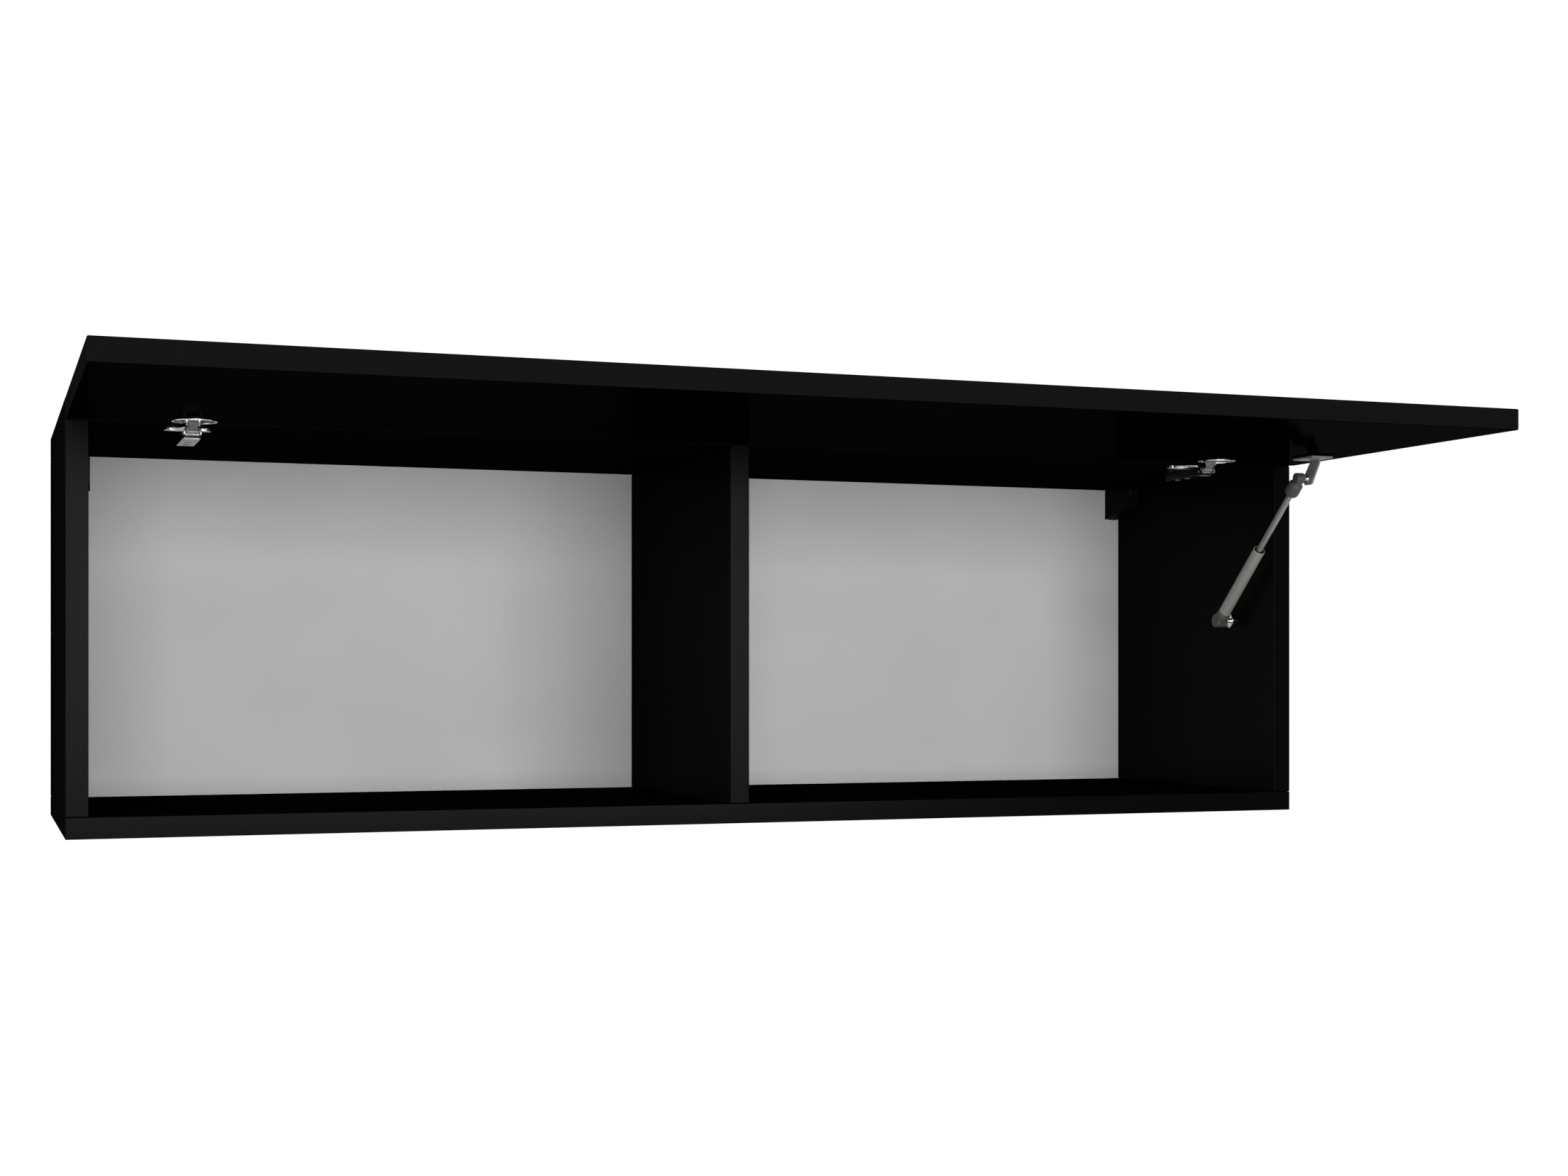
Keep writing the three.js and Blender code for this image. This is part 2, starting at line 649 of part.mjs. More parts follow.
// A ball socket on the strut's line, which runs along +Z here. Its mouth faces +X. Beyond a neck it widens to
// a block, which runs along towards (1 or -1) to the cylinder or the rod, whose threaded stub it takes.
function socket({ radius, halfWidth, neck }, ballHeight, shankLength, towards) {
  const shankEnd = ballHeight + towards * shankLength;
  const stubEnd = shankEnd - towards * (threadStub.length + runningClearance);
  const stubHole = [shankEnd + towards * cutMargin, stubEnd];
  const centre = [0, 0, ballHeight];
  const shank = turned([
    [0, 0],
    [neck.radius, 0],
    [neck.radius, neck.length],
    [socketBlock.radius, neck.length + socketBlock.shoulder],
    [socketBlock.radius, shankLength - socketBlock.endTaper],
    [socketBlock.endRadius, shankLength],
    [0, shankLength],
  ]);
  if (towards < 0) shank.rotateX(Math.PI);
  const head = rodAlong("x", radius, [-halfWidth, halfWidth - socketMouth.step], centre);
  return cut(
    join(head, shank.translate(...centre)),
    ball(ballRadius + runningClearance).translate(...centre),
    rodAlong("x", studNeckRadius + socketMouth.clearance, [0, socketBlock.radius + cutMargin], centre),
    boreAlong("z", threadStub.radius + runningClearance, stubHole),
  );
}

// The cylinder: closed at its foot, drawn in at its mouth round the rod.
function cylinder() {
  const foot = strutFootFitting;
  const mouth = foot + cylinderLength;
  const boreRadius = cylinderRadius - cylinderWall;
  const mouthRadius = rodRadius + runningClearance;
  return turned([
    [0, foot - threadStub.length],
    [threadStub.radius, foot - threadStub.length],
    [threadStub.radius, foot],
    [cylinderRadius - cylinderFootBevel, foot],
    [cylinderRadius, foot + cylinderFootBevel],
    [cylinderRadius, mouth - cylinderMouthBevel],
    [cylinderRadius - cylinderMouthBevel, mouth],
    [mouthRadius, mouth],
    [mouthRadius, mouth - cylinderNeck],
    [boreRadius, mouth - cylinderNeck],
    [boreRadius, foot + cylinderFloor],
    [0, foot + cylinderFloor],
  ]);
}

// The rod with its piston, at full reach.
function pistonRod() {
  const pistonTop = strutFootFitting + cylinderLength - cylinderNeck - runningClearance;
  const pistonRadius = cylinderRadius - cylinderWall - runningClearance;
  const shoulder = strutLength - strutHeadFitting;
  return turned([
    [0, pistonTop - pistonLength],
    [pistonRadius, pistonTop - pistonLength],
    [pistonRadius, pistonTop],
    [rodRadius, pistonTop],
    [rodRadius, shoulder],
    [threadStub.radius, shoulder],
    [threadStub.radius, shoulder + threadStub.length],
    [0, shoulder + threadStub.length],
  ]);
}

// The bracket's plate lies under the door, in front of the upper ball.
const bracketRear = headBall.x - strutBracket.clearOfBall;
const bracketFront = bracketRear - strutBracket.length;
const bracketTop = doorUnderside - fitClearance;
const bracketBottom = bracketTop - strutBracket.sheet;

function bracketScrewPlaces() {
  const x = tongueInner - (strutBracket.width - strutBracket.sheet) / 2;
  const middle = (bracketFront + bracketRear) / 2;
  return pair((side) => [[x, middle + (side * bracketScrewPitch) / 2, bracketBottom]]);
}

// Folded sheet: a plate under the door and a tongue that drops beside the strut's upper ball.
function doorBracket() {
  const { sheet, width } = strutBracket;
  const { lobeRadius, rootLength } = bracketTongue;
  const rootFront = bracketRear - rootLength;
  const tongue = [
    [rootFront, bracketTop],
    [rootFront, bracketBottom - sheet],
    [headBall.x - lobeRadius, headBall.y - lobeRadius],
    [headBall.x + lobeRadius, headBall.y - lobeRadius],
    [headBall.x + lobeRadius, headBall.y + lobeRadius / 2],
    [bracketRear, bracketTop],
  ];
  return cut(
    join(
      board(tongueOuter - width, tongueOuter, bracketFront, bracketRear, bracketBottom, bracketTop),
      plate(outline(tongue, sheet), tongueInner, tongueOuter),
    ),
    ...bracketScrewPlaces().map(hingeScrewHole),
  );
}

function addStrut() {
  const front = groupAtFront(strutX);
  add(front, "strut_lower_ball_stud", footStud(), "nickel");
  add(front, "strut_door_bracket", doorBracket(), "nickel");
  addScrews(front, "strut_bracket_screw", bracketScrewPlaces());
  const line = new THREE.Group();
  line.position.set(0, footBall.x, footBall.y);
  line.rotation.x = Math.atan2(footBall.x - headBall.x, headBall.y - footBall.y);
  front.add(line);
  const footShank = strutFootFitting - runningClearance;
  const headShank = strutHeadFitting - runningClearance;
  add(line, "strut_lower_socket", socket(footSocket, 0, footShank, 1), "plastic");
  add(line, "strut_cylinder", cylinder(), "cylinder");
  add(line, "strut_piston_rod", pistonRod(), "chrome");
  add(line, "strut_upper_socket", socket(headSocket, strutLength, headShank, -1), "plastic");
  add(line, "strut_upper_ball_stud", headStud(), "nickel");
}

// ---- Hangers: a housing on the side panel and a hook that reaches the wall rail through the back panel ----
const hangerTop = topUnderside - fitClearance;
const hangerRear = backFront - fitClearance;
const hangerFront = hangerRear - hangerDepth;
const hookTop = topUnderside - hookBar.drop;
const hangerScrewZ = hangerTop - hangerScrew.drop;

function hangerPegs(side, radius, depths) {
  const z = topUnderside - hangerPeg.drop;
  const rear = backFront - hangerPeg.inset;
  const ends = intoSide(side, ...depths);
  return [rear, rear - hangerPeg.pitch].map((y) => boreAlong("x", radius, ends, [0, y, z], ballSides));
}

function hangerPegHoles(side) {
  return hangerPegs(side, hangerPeg.radius + fitClearance, [-cutMargin, hangerPeg.length + holeEndRoom]);
}

function hangerScrewX(side) {
  return side * (sideInner - hangerScrew.inset);
}

// What a housing's draft takes off its inner face, all the way at the front and nothing at the rear.
function draftWedge(side) {
  const inner = side * (sideInner - fitClearance - hangerWidth);
  const beyond = inner - side * cutMargin;
  const front = hangerFront - cutMargin;
  const corners = [
    [beyond, front],
    [inner + side * hangerDraft, front],
    [inner, hangerRear],
    [beyond, hangerRear],
  ];
  const shape = new THREE.Shape(corners.map(([x, y]) => new THREE.Vector2(x, y)));
  const height = hangerRearHeight + 2 * cutMargin;
  const wedge = new THREE.ExtrudeGeometry(shape, { depth: height, bevelEnabled: false });
  return wedge.translate(0, 0, hangerTop + cutMargin - height);
}

function hangerHousing(side) {
  const shell = [
    [hangerRear, hangerTop],
    [hangerFront, hangerTop],
    [hangerFront, hangerTop - hangerFrontHeight],
    [hangerRear, hangerTop - hangerRearHeight],
  ];
  const slotTop = hookTop + hookTravel + runningClearance;
  const slotRear = hangerRear - hangerWall;
  const slotFront = hangerFront + hangerWall;
  const slot = [
    [slotRear, slotTop],
    [slotFront, slotTop],
    [slotFront, hangerTop - hangerFrontHeight + hangerWall],
    [slotRear, hangerTop - hangerRearHeight + hangerWall],
  ];
  const slotHalf = hookSheet / 2 + runningClearance;
  const slotSides = intoSide(side, -hookInset - slotHalf, -hookInset + slotHalf);
  const rearMouth = block(...slotSides, slotRear - cutMargin, hangerRear + cutMargin, slot[3][1], slotTop);
  const screwEnd = hangerFront + hangerScrew.sink + hangerScrew.length + holeEndRoom;
  const screwPlace = [hangerScrewX(side), 0, hangerScrewZ];
  const across = intoSide(side, -fitClearance - hangerWidth, -fitClearance);
  const pegs = hangerPegs(side, hangerPeg.radius, [-fitClearance - hangerWall, hangerPeg.length]);
  return cut(
    join(plate(outline(shell, hangerCornerRadius), ...across), ...pegs),
    plate(outline(slot, hangerCornerRadius), ...slotSides),
    rearMouth,
    draftWedge(side),
    boreAlong("y", hangerScrew.radius + screwClearance, [hangerFront - cutMargin, screwEnd], screwPlace),
  );
}

function hangerHook(side) {
  const barBottom = hookTop - hookBar.height;
  const lipRear = -hookLip.wallGap;
  const lipFront = lipRear - hookLip.thickness;
  const barFront = lipRear - hookBar.length;
  const shape = [
    [lipRear, hookTop],
    [barFront, hookTop],
    [barFront, barBottom],
    [lipFront, barBottom],
    [lipFront, barBottom - hookLip.drop],
    [lipRear, barBottom - hookLip.drop],
  ];
  const across = intoSide(side, -hookInset - hookSheet / 2, -hookInset + hookSheet / 2);
  return plate(outline(shape, hangerCornerRadius), ...across);
}

function hangerAdjuster(side) {
  const x = hangerScrewX(side);
  const head = hangerFront + hangerScrew.sink;
  const rod = rodAlong("y", hangerScrew.radius, [head, head + hangerScrew.length], [x, 0, hangerScrewZ]);
  const slot = (width, height) => {
    const [halfWidth, halfHeight] = [width / 2, height / 2];
    const [z0, z1] = [hangerScrewZ - halfHeight, hangerScrewZ + halfHeight];
    return block(x - halfWidth, x + halfWidth, head - cutMargin, head + crossSlot.depth, z0, z1);
  };
  return cut(rod, slot(crossSlot.width, crossSlot.span), slot(crossSlot.span, crossSlot.width));
}

function addHanger(side) {
  const name = side < 0 ? "hanger_left" : "hanger_right";
  add(cabinet, `${name}_housing`, hangerHousing(side), "cover");
  add(cabinet, `${name}_hook`, hangerHook(side), "zinc");
  add(cabinet, `${name}_adjusting_screw`, hangerAdjuster(side), "blacked");
}

// ---- The whole cabinet ----
const [leftSide, divider, rightSide] = uprights;
addTopAndBottom();
addSide(-1, leftSide);
addSide(1, rightSide);
addDivider(divider);
addBack();
addJoiningScrews();
addDoor();
addHinge(-1);
addHinge(1);
addStrut();
addHanger(-1);
addHanger(1);

cabinet.position.z = -(cabinetHeight - boardThickness / 2);

export default cabinet;
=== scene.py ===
"""Looks of a black lift up wall cabinet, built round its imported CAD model.

Lengths are in metres, and in millimetres where a comment says so.
"""

import json
import math

import bmesh
import bpy
from mathutils import Matrix, Vector

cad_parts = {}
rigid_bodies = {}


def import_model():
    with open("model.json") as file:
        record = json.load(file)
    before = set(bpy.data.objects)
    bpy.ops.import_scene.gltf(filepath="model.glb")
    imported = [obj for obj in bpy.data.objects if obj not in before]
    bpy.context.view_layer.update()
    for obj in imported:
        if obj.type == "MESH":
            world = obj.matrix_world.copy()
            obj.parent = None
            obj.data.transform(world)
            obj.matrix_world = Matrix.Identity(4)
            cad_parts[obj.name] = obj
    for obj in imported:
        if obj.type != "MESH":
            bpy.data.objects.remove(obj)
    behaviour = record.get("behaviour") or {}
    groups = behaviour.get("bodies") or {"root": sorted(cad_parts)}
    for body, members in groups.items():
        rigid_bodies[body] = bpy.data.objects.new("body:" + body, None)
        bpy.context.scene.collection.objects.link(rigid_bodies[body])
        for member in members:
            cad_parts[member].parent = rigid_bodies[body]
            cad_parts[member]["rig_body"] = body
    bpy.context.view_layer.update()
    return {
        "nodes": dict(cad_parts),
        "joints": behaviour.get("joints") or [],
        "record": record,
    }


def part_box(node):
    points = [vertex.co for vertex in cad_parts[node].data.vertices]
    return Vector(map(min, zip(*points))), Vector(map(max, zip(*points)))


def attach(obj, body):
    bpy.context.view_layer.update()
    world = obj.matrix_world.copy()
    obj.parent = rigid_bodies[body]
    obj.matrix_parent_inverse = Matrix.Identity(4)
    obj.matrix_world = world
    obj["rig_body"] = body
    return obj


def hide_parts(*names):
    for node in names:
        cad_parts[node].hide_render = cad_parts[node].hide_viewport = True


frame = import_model()

MM = 0.001
NODES = frame["nodes"]
JOINTS = {joint["name"]: joint for joint in frame["joints"]}
SLOTS = {row["node"]: row["material_slot"] for row in frame["record"]["subparts"]}
SIDES = ("left", "right")
X_AXIS = Vector((1.0, 0.0, 0.0))
Y_AXIS = Vector((0.0, 1.0, 0.0))
Z_AXIS = Vector((0.0, 0.0, 1.0))

# ---- Camera and light ----
CAMERA_PLACE = (-0.6478, -2.3490, -0.2176)
CAMERA_TURN = math.radians(-21.743)
CAMERA_LENS = 52.997
CAMERA_SHIFT = (-0.06712, 0.05598)
FLOOR_HEIGHT = -1.80
FLOOR_SIZE = 6.0
FLOOR_GREY = 0.80
FLOOR_ROUGHNESS = 0.9
# What the camera sees the floor give off, and how strongly the world lights the cabinet. 1 is white.
FLOOR_GLOW = 0.45
WORLD_FILL = 0.34
LAMP_TARGET = (0.0, 0.0, -0.17)
LAMPS = {
    "front_light": {"place": (0.0, -4.0, -0.03), "size": (3.1, 0.98), "power": 140.0},
    "side_light": {"place": (-3.6, -1.8, 0.38), "size": (1.0, 0.7), "power": 100.0},
}


# ---- Node trees ----
class Value:
    """A socket of a node tree. Each operation on it adds a Math node."""

    def __init__(self, tree, socket):
        self.tree = tree
        self.socket = socket

    def math(self, operation, *others):
        inputs = dict(enumerate((self, *others)))
        return self.tree.node("ShaderNodeMath", {"operation": operation}, inputs)

    def __add__(self, other):
        return self.math("ADD", other)

    def __sub__(self, other):
        return self.math("SUBTRACT", other)

    def __rsub__(self, other):
        return (self * -1.0).math("ADD", other)

    def __mul__(self, other):
        return self.math("MULTIPLY", other)

    def __truediv__(self, other):
        return self.math("DIVIDE", other)

    __radd__ = __add__
    __rmul__ = __mul__

    def larger(self, other):
        return self.math("MAXIMUM", other)

    def size(self):
        return self.math("ABSOLUTE")

    def step(self, start, end):
        """0 before start and 1 after end, with a smooth rise between them."""
        inputs = {"Value": self, "From Min": start, "From Max": end}
        return self.tree.node("ShaderNodeMapRange", {"interpolation_type": "SMOOTHSTEP"}, inputs)

    def between(self, low, high):
        """Spreads 0 to 1 over low to high."""
        return self * (high - low) + low


class Tree:
    """Makes the nodes of one node tree."""

    def __init__(self, nodes):
        self.tree = nodes
        self.tree.nodes.clear()

    def node(self, kind, settings=None, inputs=None, output=0):
        """Adds a node, with its settings first and then the values or links of its sockets."""
        made = self.tree.nodes.new(kind)
        for name, value in (settings or {}).items():
            setattr(made, name, value)
        for name, value in (inputs or {}).items():
            links = value if isinstance(value, list) else [value]
            for link in links:
                if isinstance(link, Value):
                    self.tree.links.new(link.socket, made.inputs[name])
                else:
                    made.inputs[name].default_value = link
        return Value(self, made.outputs[output]) if made.outputs else None


class Surface(Tree):
    """A material's node tree, with the textures that the finishes share."""

    PATCH_SCALE = 6.0
    PATCH_SHARE = 0.4
    GRAIN_SCALE = 420.0
    # A Mix node's colour sockets share their names with its others, so they go by number.
    MIX_FACTOR, MIX_FIRST, MIX_SECOND, MIX_RESULT = 0, 6, 7, 2

    def coordinates(self):
        return self.node("ShaderNodeTexCoord", output="Object")

    def axes(self):
        parts = self.node("ShaderNodeSeparateXYZ", inputs={"Vector": self.coordinates()}).socket.node
        return [Value(self, socket) for socket in parts.outputs]

    def noise(self, scale, detail, stretch=(1.0, 1.0, 1.0), roughness=0.5):
        """Noise from 0 to 1 with scale waves to the metre, times stretch along each axis."""
        mapped = self.node("ShaderNodeMapping", inputs={"Vector": self.coordinates(), "Scale": stretch})
        inputs = {"Vector": mapped, "Scale": scale, "Detail": detail, "Roughness": roughness}
        return self.node("ShaderNodeTexNoise", inputs=inputs)

    def mix(self, mask, first, second):
        """Goes from the first colour to the second as the mask goes from 0 to 1."""
        inputs = {self.MIX_FACTOR: mask, self.MIX_FIRST: first, self.MIX_SECOND: second}
        return self.node("ShaderNodeMix", {"data_type": "RGBA"}, inputs, output=self.MIX_RESULT)

    def shade(self, colour, amount):
        """Multiplies a colour by 1 +- amount in slow patches and fine grain."""
        patches = self.noise(self.PATCH_SCALE, 2.0) * self.PATCH_SHARE
        grain = self.noise(self.GRAIN_SCALE, 2.0) * (1 - self.PATCH_SHARE)
        dark = tuple(part * (1 - amount) for part in colour[:3]) + (1.0,)
        light = tuple(part * (1 + amount) for part in colour[:3]) + (1.0,)
        return self.mix((patches + grain).step(0.25, 0.75), dark, light)

    def towards(self):
        """1 where the surface faces the eye, and 0 where it is seen edge on."""
        return 1 - self.node("ShaderNodeLayerWeight", inputs={"Blend": 0.5}, output="Facing")

    def bump(self, height, depth, strength):
        """Relief, in which a height of 1 stands depth above a height of 0."""
        inputs = {"Height": height, "Distance": depth, "Strength": strength}
        return self.node("ShaderNodeBump", inputs=inputs)


class Shape(Tree):
    """A Geometry Nodes tree with named sizes, which works on the points of its object."""

    WELD_DISTANCE = 0.001 * MM
    SPIRAL_STEPS = 16
    RIDGE_SIDES = 3

    def __init__(self, name, sizes):
        super().__init__(bpy.data.node_groups.new(name, "GeometryNodeTree"))
        face = self.tree.interface
        points = face.new_socket("Points", in_out="INPUT", socket_type="NodeSocketGeometry")
        finish = face.new_socket("Finish", in_out="INPUT", socket_type="NodeSocketMaterial")
        made = [face.new_socket(size, in_out="INPUT", socket_type="NodeSocketFloat") for size in sizes]
        face.new_socket("Pieces", in_out="OUTPUT", socket_type="NodeSocketGeometry")
        sources = self.tree.nodes.new("NodeGroupInput").outputs
        self.points = Value(self, sources[points.name])
        self.finish = Value(self, sources[finish.name])
        self.sizes = [Value(self, sources[socket.name]) for socket in made]
        self.identifiers = {socket.name: socket.identifier for socket in (finish, *made)}

    def moved(self, piece, height):
        place = self.node("ShaderNodeCombineXYZ", inputs={"Z": height})
        return self.node("GeometryNodeTransform", inputs={"Geometry": piece, "Translation": place})

    def joined(self, *pieces):
        return self.node("GeometryNodeJoinGeometry", inputs={"Geometry": list(pieces)})

    def turned(self, profile, sides):
        """A closed turned body about Z. Its profile lists (radius, height) from the bottom up."""
        stages = []
        for (low_radius, low), (high_radius, high) in zip(profile, profile[1:]):
            inputs = {"Vertices": sides, "Radius Bottom": low_radius, "Radius Top": high_radius}
            cone = self.node("GeometryNodeMeshCone", {"fill_type": "NONE"}, {**inputs, "Depth": high - low})
            stages.append(self.moved(cone, low))
        inputs = {"Geometry": self.joined(*stages), "Distance": self.WELD_DISTANCE}
        return self.node("GeometryNodeMergeByDistance", inputs=inputs)

    def spiral(self, radius, start, end, pitch, wire):
        """A ridge of wire radius that winds up round Z."""
        height = end - start
        inputs = {"Resolution": self.SPIRAL_STEPS, "Rotations": height / pitch, "Height": height}
        inputs = {**inputs, "Start Radius": radius, "End Radius": radius}
        line = self.node("GeometryNodeCurveSpiral", inputs=inputs)
        inputs = {"Resolution": self.RIDGE_SIDES, "Radius": wire}
        section = self.node("GeometryNodeCurvePrimitiveCircle", inputs=inputs)
        inputs = {"Curve": line, "Profile Curve": section, "Fill Caps": True}
        return self.moved(self.node("GeometryNodeCurveToMesh", inputs=inputs), start)

    def bar(self, length, width, height):
        size = self.node("ShaderNodeCombineXYZ", inputs={"X": length, "Y": width, "Z": height})
        return self.node("GeometryNodeMeshCube", inputs={"Size": size})

    def cross(self, span, width, depth):
        """Two bars across each other, sunk to depth on both sides of the origin."""
        height = depth * 2.0
        return self.joined(self.bar(span, width, height), self.bar(width, span, height))

    def on_points(self, piece, seed):
        """Puts the piece on each point, its Z along the point's aim and turned by chance about it."""
        aim = self.node("GeometryNodeInputNamedAttribute", {"data_type": "FLOAT_VECTOR"}, {"Name": "aim"})
        aimed = self.node("FunctionNodeAlignRotationToVector", {"axis": "Z"}, {"Vector": aim})
        inputs = {"Max": math.tau, "Seed": seed}
        chance = self.node("FunctionNodeRandomValue", {"data_type": "FLOAT"}, inputs, output=1)
        inputs = {"Axis": tuple(Z_AXIS), "Angle": chance}
        roll = self.node("FunctionNodeAxisAngleToRotation", inputs=inputs)
        inputs = {"Rotation": aimed, "Rotate By": roll}
        rotation = self.node("FunctionNodeRotateRotation", {"rotation_space": "LOCAL"}, inputs)
        inputs = {"Points": self.points, "Instance": piece, "Rotation": rotation}
        return self.node("GeometryNodeInstanceOnPoints", inputs=inputs)

    def finished(self, pieces):
        """Ends the tree: real meshes in the given finish."""
        real = self.node("GeometryNodeRealizeInstances", inputs={"Geometry": pieces})
        inputs = {"Geometry": real, "Material": self.finish}
        painted = self.node("GeometryNodeSetMaterial", inputs=inputs)
        self.node("NodeGroupOutput", inputs={"Pieces": painted})


def grey(level, warmth=0.0):
    """A linear grey, a little warmer or cooler."""
    return (level * (1 + warmth), level, level * (1 - warmth), 1.0)


def material(name, paint, **fixed):
    """A material of one shader. paint(surface) returns what varies, and fixed holds the constants."""
    made = bpy.data.materials.new(name)
    made.use_nodes = True
    surface = Surface(made.node_tree)
    inputs = {key.replace("_", " "): value for key, value in fixed.items()}
    shader = surface.node("ShaderNodeBsdfPrincipled", inputs={**inputs, **paint(surface)})
    surface.node("ShaderNodeOutputMaterial", inputs={"Surface": shader})
    return made


# ---- Finishes ----
BOARD_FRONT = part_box("bottom_panel")[0].y
BAND_THICKNESS = 1.0 * MM
BAND_FADE = 0.02 * MM
BAND_SEAM = 0.12 * MM
BAND_GLOSS = 0.04
FACE_GLOSS = 0.20
BOARD_BLACK = grey(0.0018)
BAND_BLACK = grey(0.0005, 0.01)
SEAM_BLACK = grey(0.002)

DOOR_OUTER_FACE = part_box("door_panel")[1].z
DOOR_FACES_START = DOOR_OUTER_FACE - 0.6 * MM
DOOR_FACES_FADE = 0.2 * MM
DOOR_POLISH_START = DOOR_OUTER_FACE - 0.1 * MM
DOOR_POLISH_FADE = 0.05 * MM
DOOR_INSIDE_GLOSS = 0.006
DOOR_OUTSIDE_GLOSS = 0.8
DOOR_BLACK = grey(0.0004)
DOOR_DUST = grey(0.008)
DOOR_BAND_BLACK = grey(0.0043, 0.01)

BACK_PANEL_MIDDLE = (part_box("back_panel")[0].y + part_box("back_panel")[1].y) / 2
BACK_PANEL_FADE = 0.5 * MM
LACQUER_GREYS = (grey(0.46, 0.002), grey(0.48, 0.002))
LACQUER_FIBRE = grey(0.435, 0.004)
BARE_BROWNS = ((0.105, 0.062, 0.034, 1.0), (0.185, 0.115, 0.066, 1.0))

BRIGHT_NICKEL = (grey(0.55, 0.02), grey(0.92, 0.01))
# A darker copy of the nickel, worn by the hinge arms and links: painted shade on them.
NICKEL_PAINTED_SHADE = (grey(0.09, 0.02), grey(0.24, 0.01))
ZINC_GREYS = (grey(0.14, -0.01), grey(0.22))
ROD_GREYS = (grey(0.24, 0.015), grey(0.28, 0.015))
TUBE_GREYS = ((0.205, 0.206, 0.188, 1.0), (0.240, 0.242, 0.222, 1.0))
SCUFF_GREY = grey(0.10, 0.02)
OILED_BLACKS = (grey(0.010, -0.03), grey(0.030))
DARK_GREY = (0.050, 0.050, 0.046, 1.0)
PLASTIC_BLACK = grey(0.0025)
PLASTIC_GRAIN = 0.03 * MM


def paint_black_board(surface):
    """Melamine faced board: fine pearl texture, and an edge band on the front."""
    _, y, _ = surface.axes()
    from_front = y - BOARD_FRONT
    band = 1 - from_front.step(BAND_THICKNESS, BAND_THICKNESS + BAND_FADE)
    seam = 1 - (from_front - BAND_THICKNESS).size().step(0.0, BAND_SEAM)
    face = surface.shade(BOARD_BLACK, 0.05)
    edge = surface.shade(BAND_BLACK, 0.02)
    pearl = surface.noise(scale=1500.0, detail=3.0, roughness=0.6)
    towards = surface.towards()
    return {
        "Base Color": surface.mix(seam, surface.mix(band, face, edge), SEAM_BLACK),
        "Roughness": surface.noise(scale=90.0, detail=4.0).between(0.42, 0.55),
        "Coat Weight": band * BAND_GLOSS + (1 - band) * towards * towards * FACE_GLOSS,
        "Normal": surface.bump(pearl * 0.5 - seam, depth=0.05 * MM, strength=0.3),
    }


def paint_gloss_door(surface):
    """Black lacquer, polished on the outside of the door and dull inside and on its edge bands."""
    _, _, z = surface.axes()
    faces = z.size().step(DOOR_FACES_START, DOOR_FACES_START + DOOR_FACES_FADE)
    outside = z.step(DOOR_POLISH_START, DOOR_POLISH_START + DOOR_POLISH_FADE)
    towards = surface.towards()
    waves = surface.noise(scale=55.0, detail=1.0)
    dust = surface.noise(scale=2600.0, detail=1.0).step(0.78, 0.84)
    band = surface.shade(DOOR_BAND_BLACK, 0.02)
    return {
        "Base Color": surface.mix(faces, band, surface.mix(dust, DOOR_BLACK, DOOR_DUST)),
        "Roughness": surface.noise(scale=30.0, detail=4.0).between(0.10, 0.16),
        "Coat Weight": faces * DOOR_INSIDE_GLOSS + outside * towards * towards * DOOR_OUTSIDE_GLOSS,
        "Normal": surface.bump(waves, depth=0.02 * MM, strength=0.3),
    }


def paint_back_board(surface):
    """Hardboard: pale grey lacquer with its fibres just showing in front, and bare and brown behind."""
    _, y, _ = surface.axes()
    behind = y.step(BACK_PANEL_MIDDLE, BACK_PANEL_MIDDLE + BACK_PANEL_FADE)
    fibres = surface.noise(scale=700.0, detail=4.0, stretch=(1.0, 1.0, 2.2), roughness=0.65)
    clouds = surface.noise(scale=9.0, detail=3.0).step(0.3, 0.7)
    lacquer = surface.mix(clouds, *LACQUER_GREYS)
    front = surface.mix(fibres.step(0.62, 0.78), lacquer, LACQUER_FIBRE)
    bare = surface.mix(fibres.step(0.3, 0.7), *BARE_BROWNS)
    return {
        "Base Color": surface.mix(behind, front, bare),
        "Roughness": fibres.between(0.50, 0.68) + behind * 0.2,
        "Normal": surface.bump(fibres, depth=0.04 * MM, strength=0.3),
    }


def paint_nickel(greys):
    """Nickel plated pressed steel: rolling marks, and tiny wipes that break its shine up."""

    def paint(surface):
        rolled = surface.noise(scale=900.0, detail=4.0, stretch=(1.0, 0.12, 1.0), roughness=0.7)
        wipes = surface.noise(scale=520.0, detail=3.0, roughness=0.65)
        return {
            "Base Color": surface.mix(wipes.step(0.30, 0.50), *greys),
            "Roughness": rolled.between(0.10, 0.24),
            "Normal": surface.bump(rolled + wipes, depth=0.05 * MM, strength=0.6),
        }

    return paint


def paint_zinc(surface):
    """Zinc plated steel: a crystalline, slightly cloudy grey."""
    cloud = surface.noise(scale=800.0, detail=3.0)
    return {
        "Base Color": surface.mix(cloud.step(0.3, 0.7), *ZINC_GREYS),
        "Roughness": cloud.between(0.30, 0.48),
        "Normal": surface.bump(surface.noise(scale=2400.0, detail=2.0), depth=0.01 * MM, strength=0.5),
    }


def paint_tube(surface):
    """Satin grey lacquer on the strut's cylinder, with fine metal flakes and a few scuffs."""
    flakes = surface.noise(scale=3000.0, detail=1.0).step(0.45, 0.7)
    marks = surface.noise(scale=120.0, detail=5.0, stretch=(1.0, 0.6, 0.6), roughness=0.7)
    scuffs = marks.step(0.68, 0.74)
    return {
        "Base Color": surface.mix(scuffs, surface.mix(flakes, *TUBE_GREYS), SCUFF_GREY),
        "Roughness": flakes.between(0.40, 0.34) + scuffs * 0.15,
        "Normal": surface.bump(flakes, depth=0.005 * MM, strength=0.3),
    }


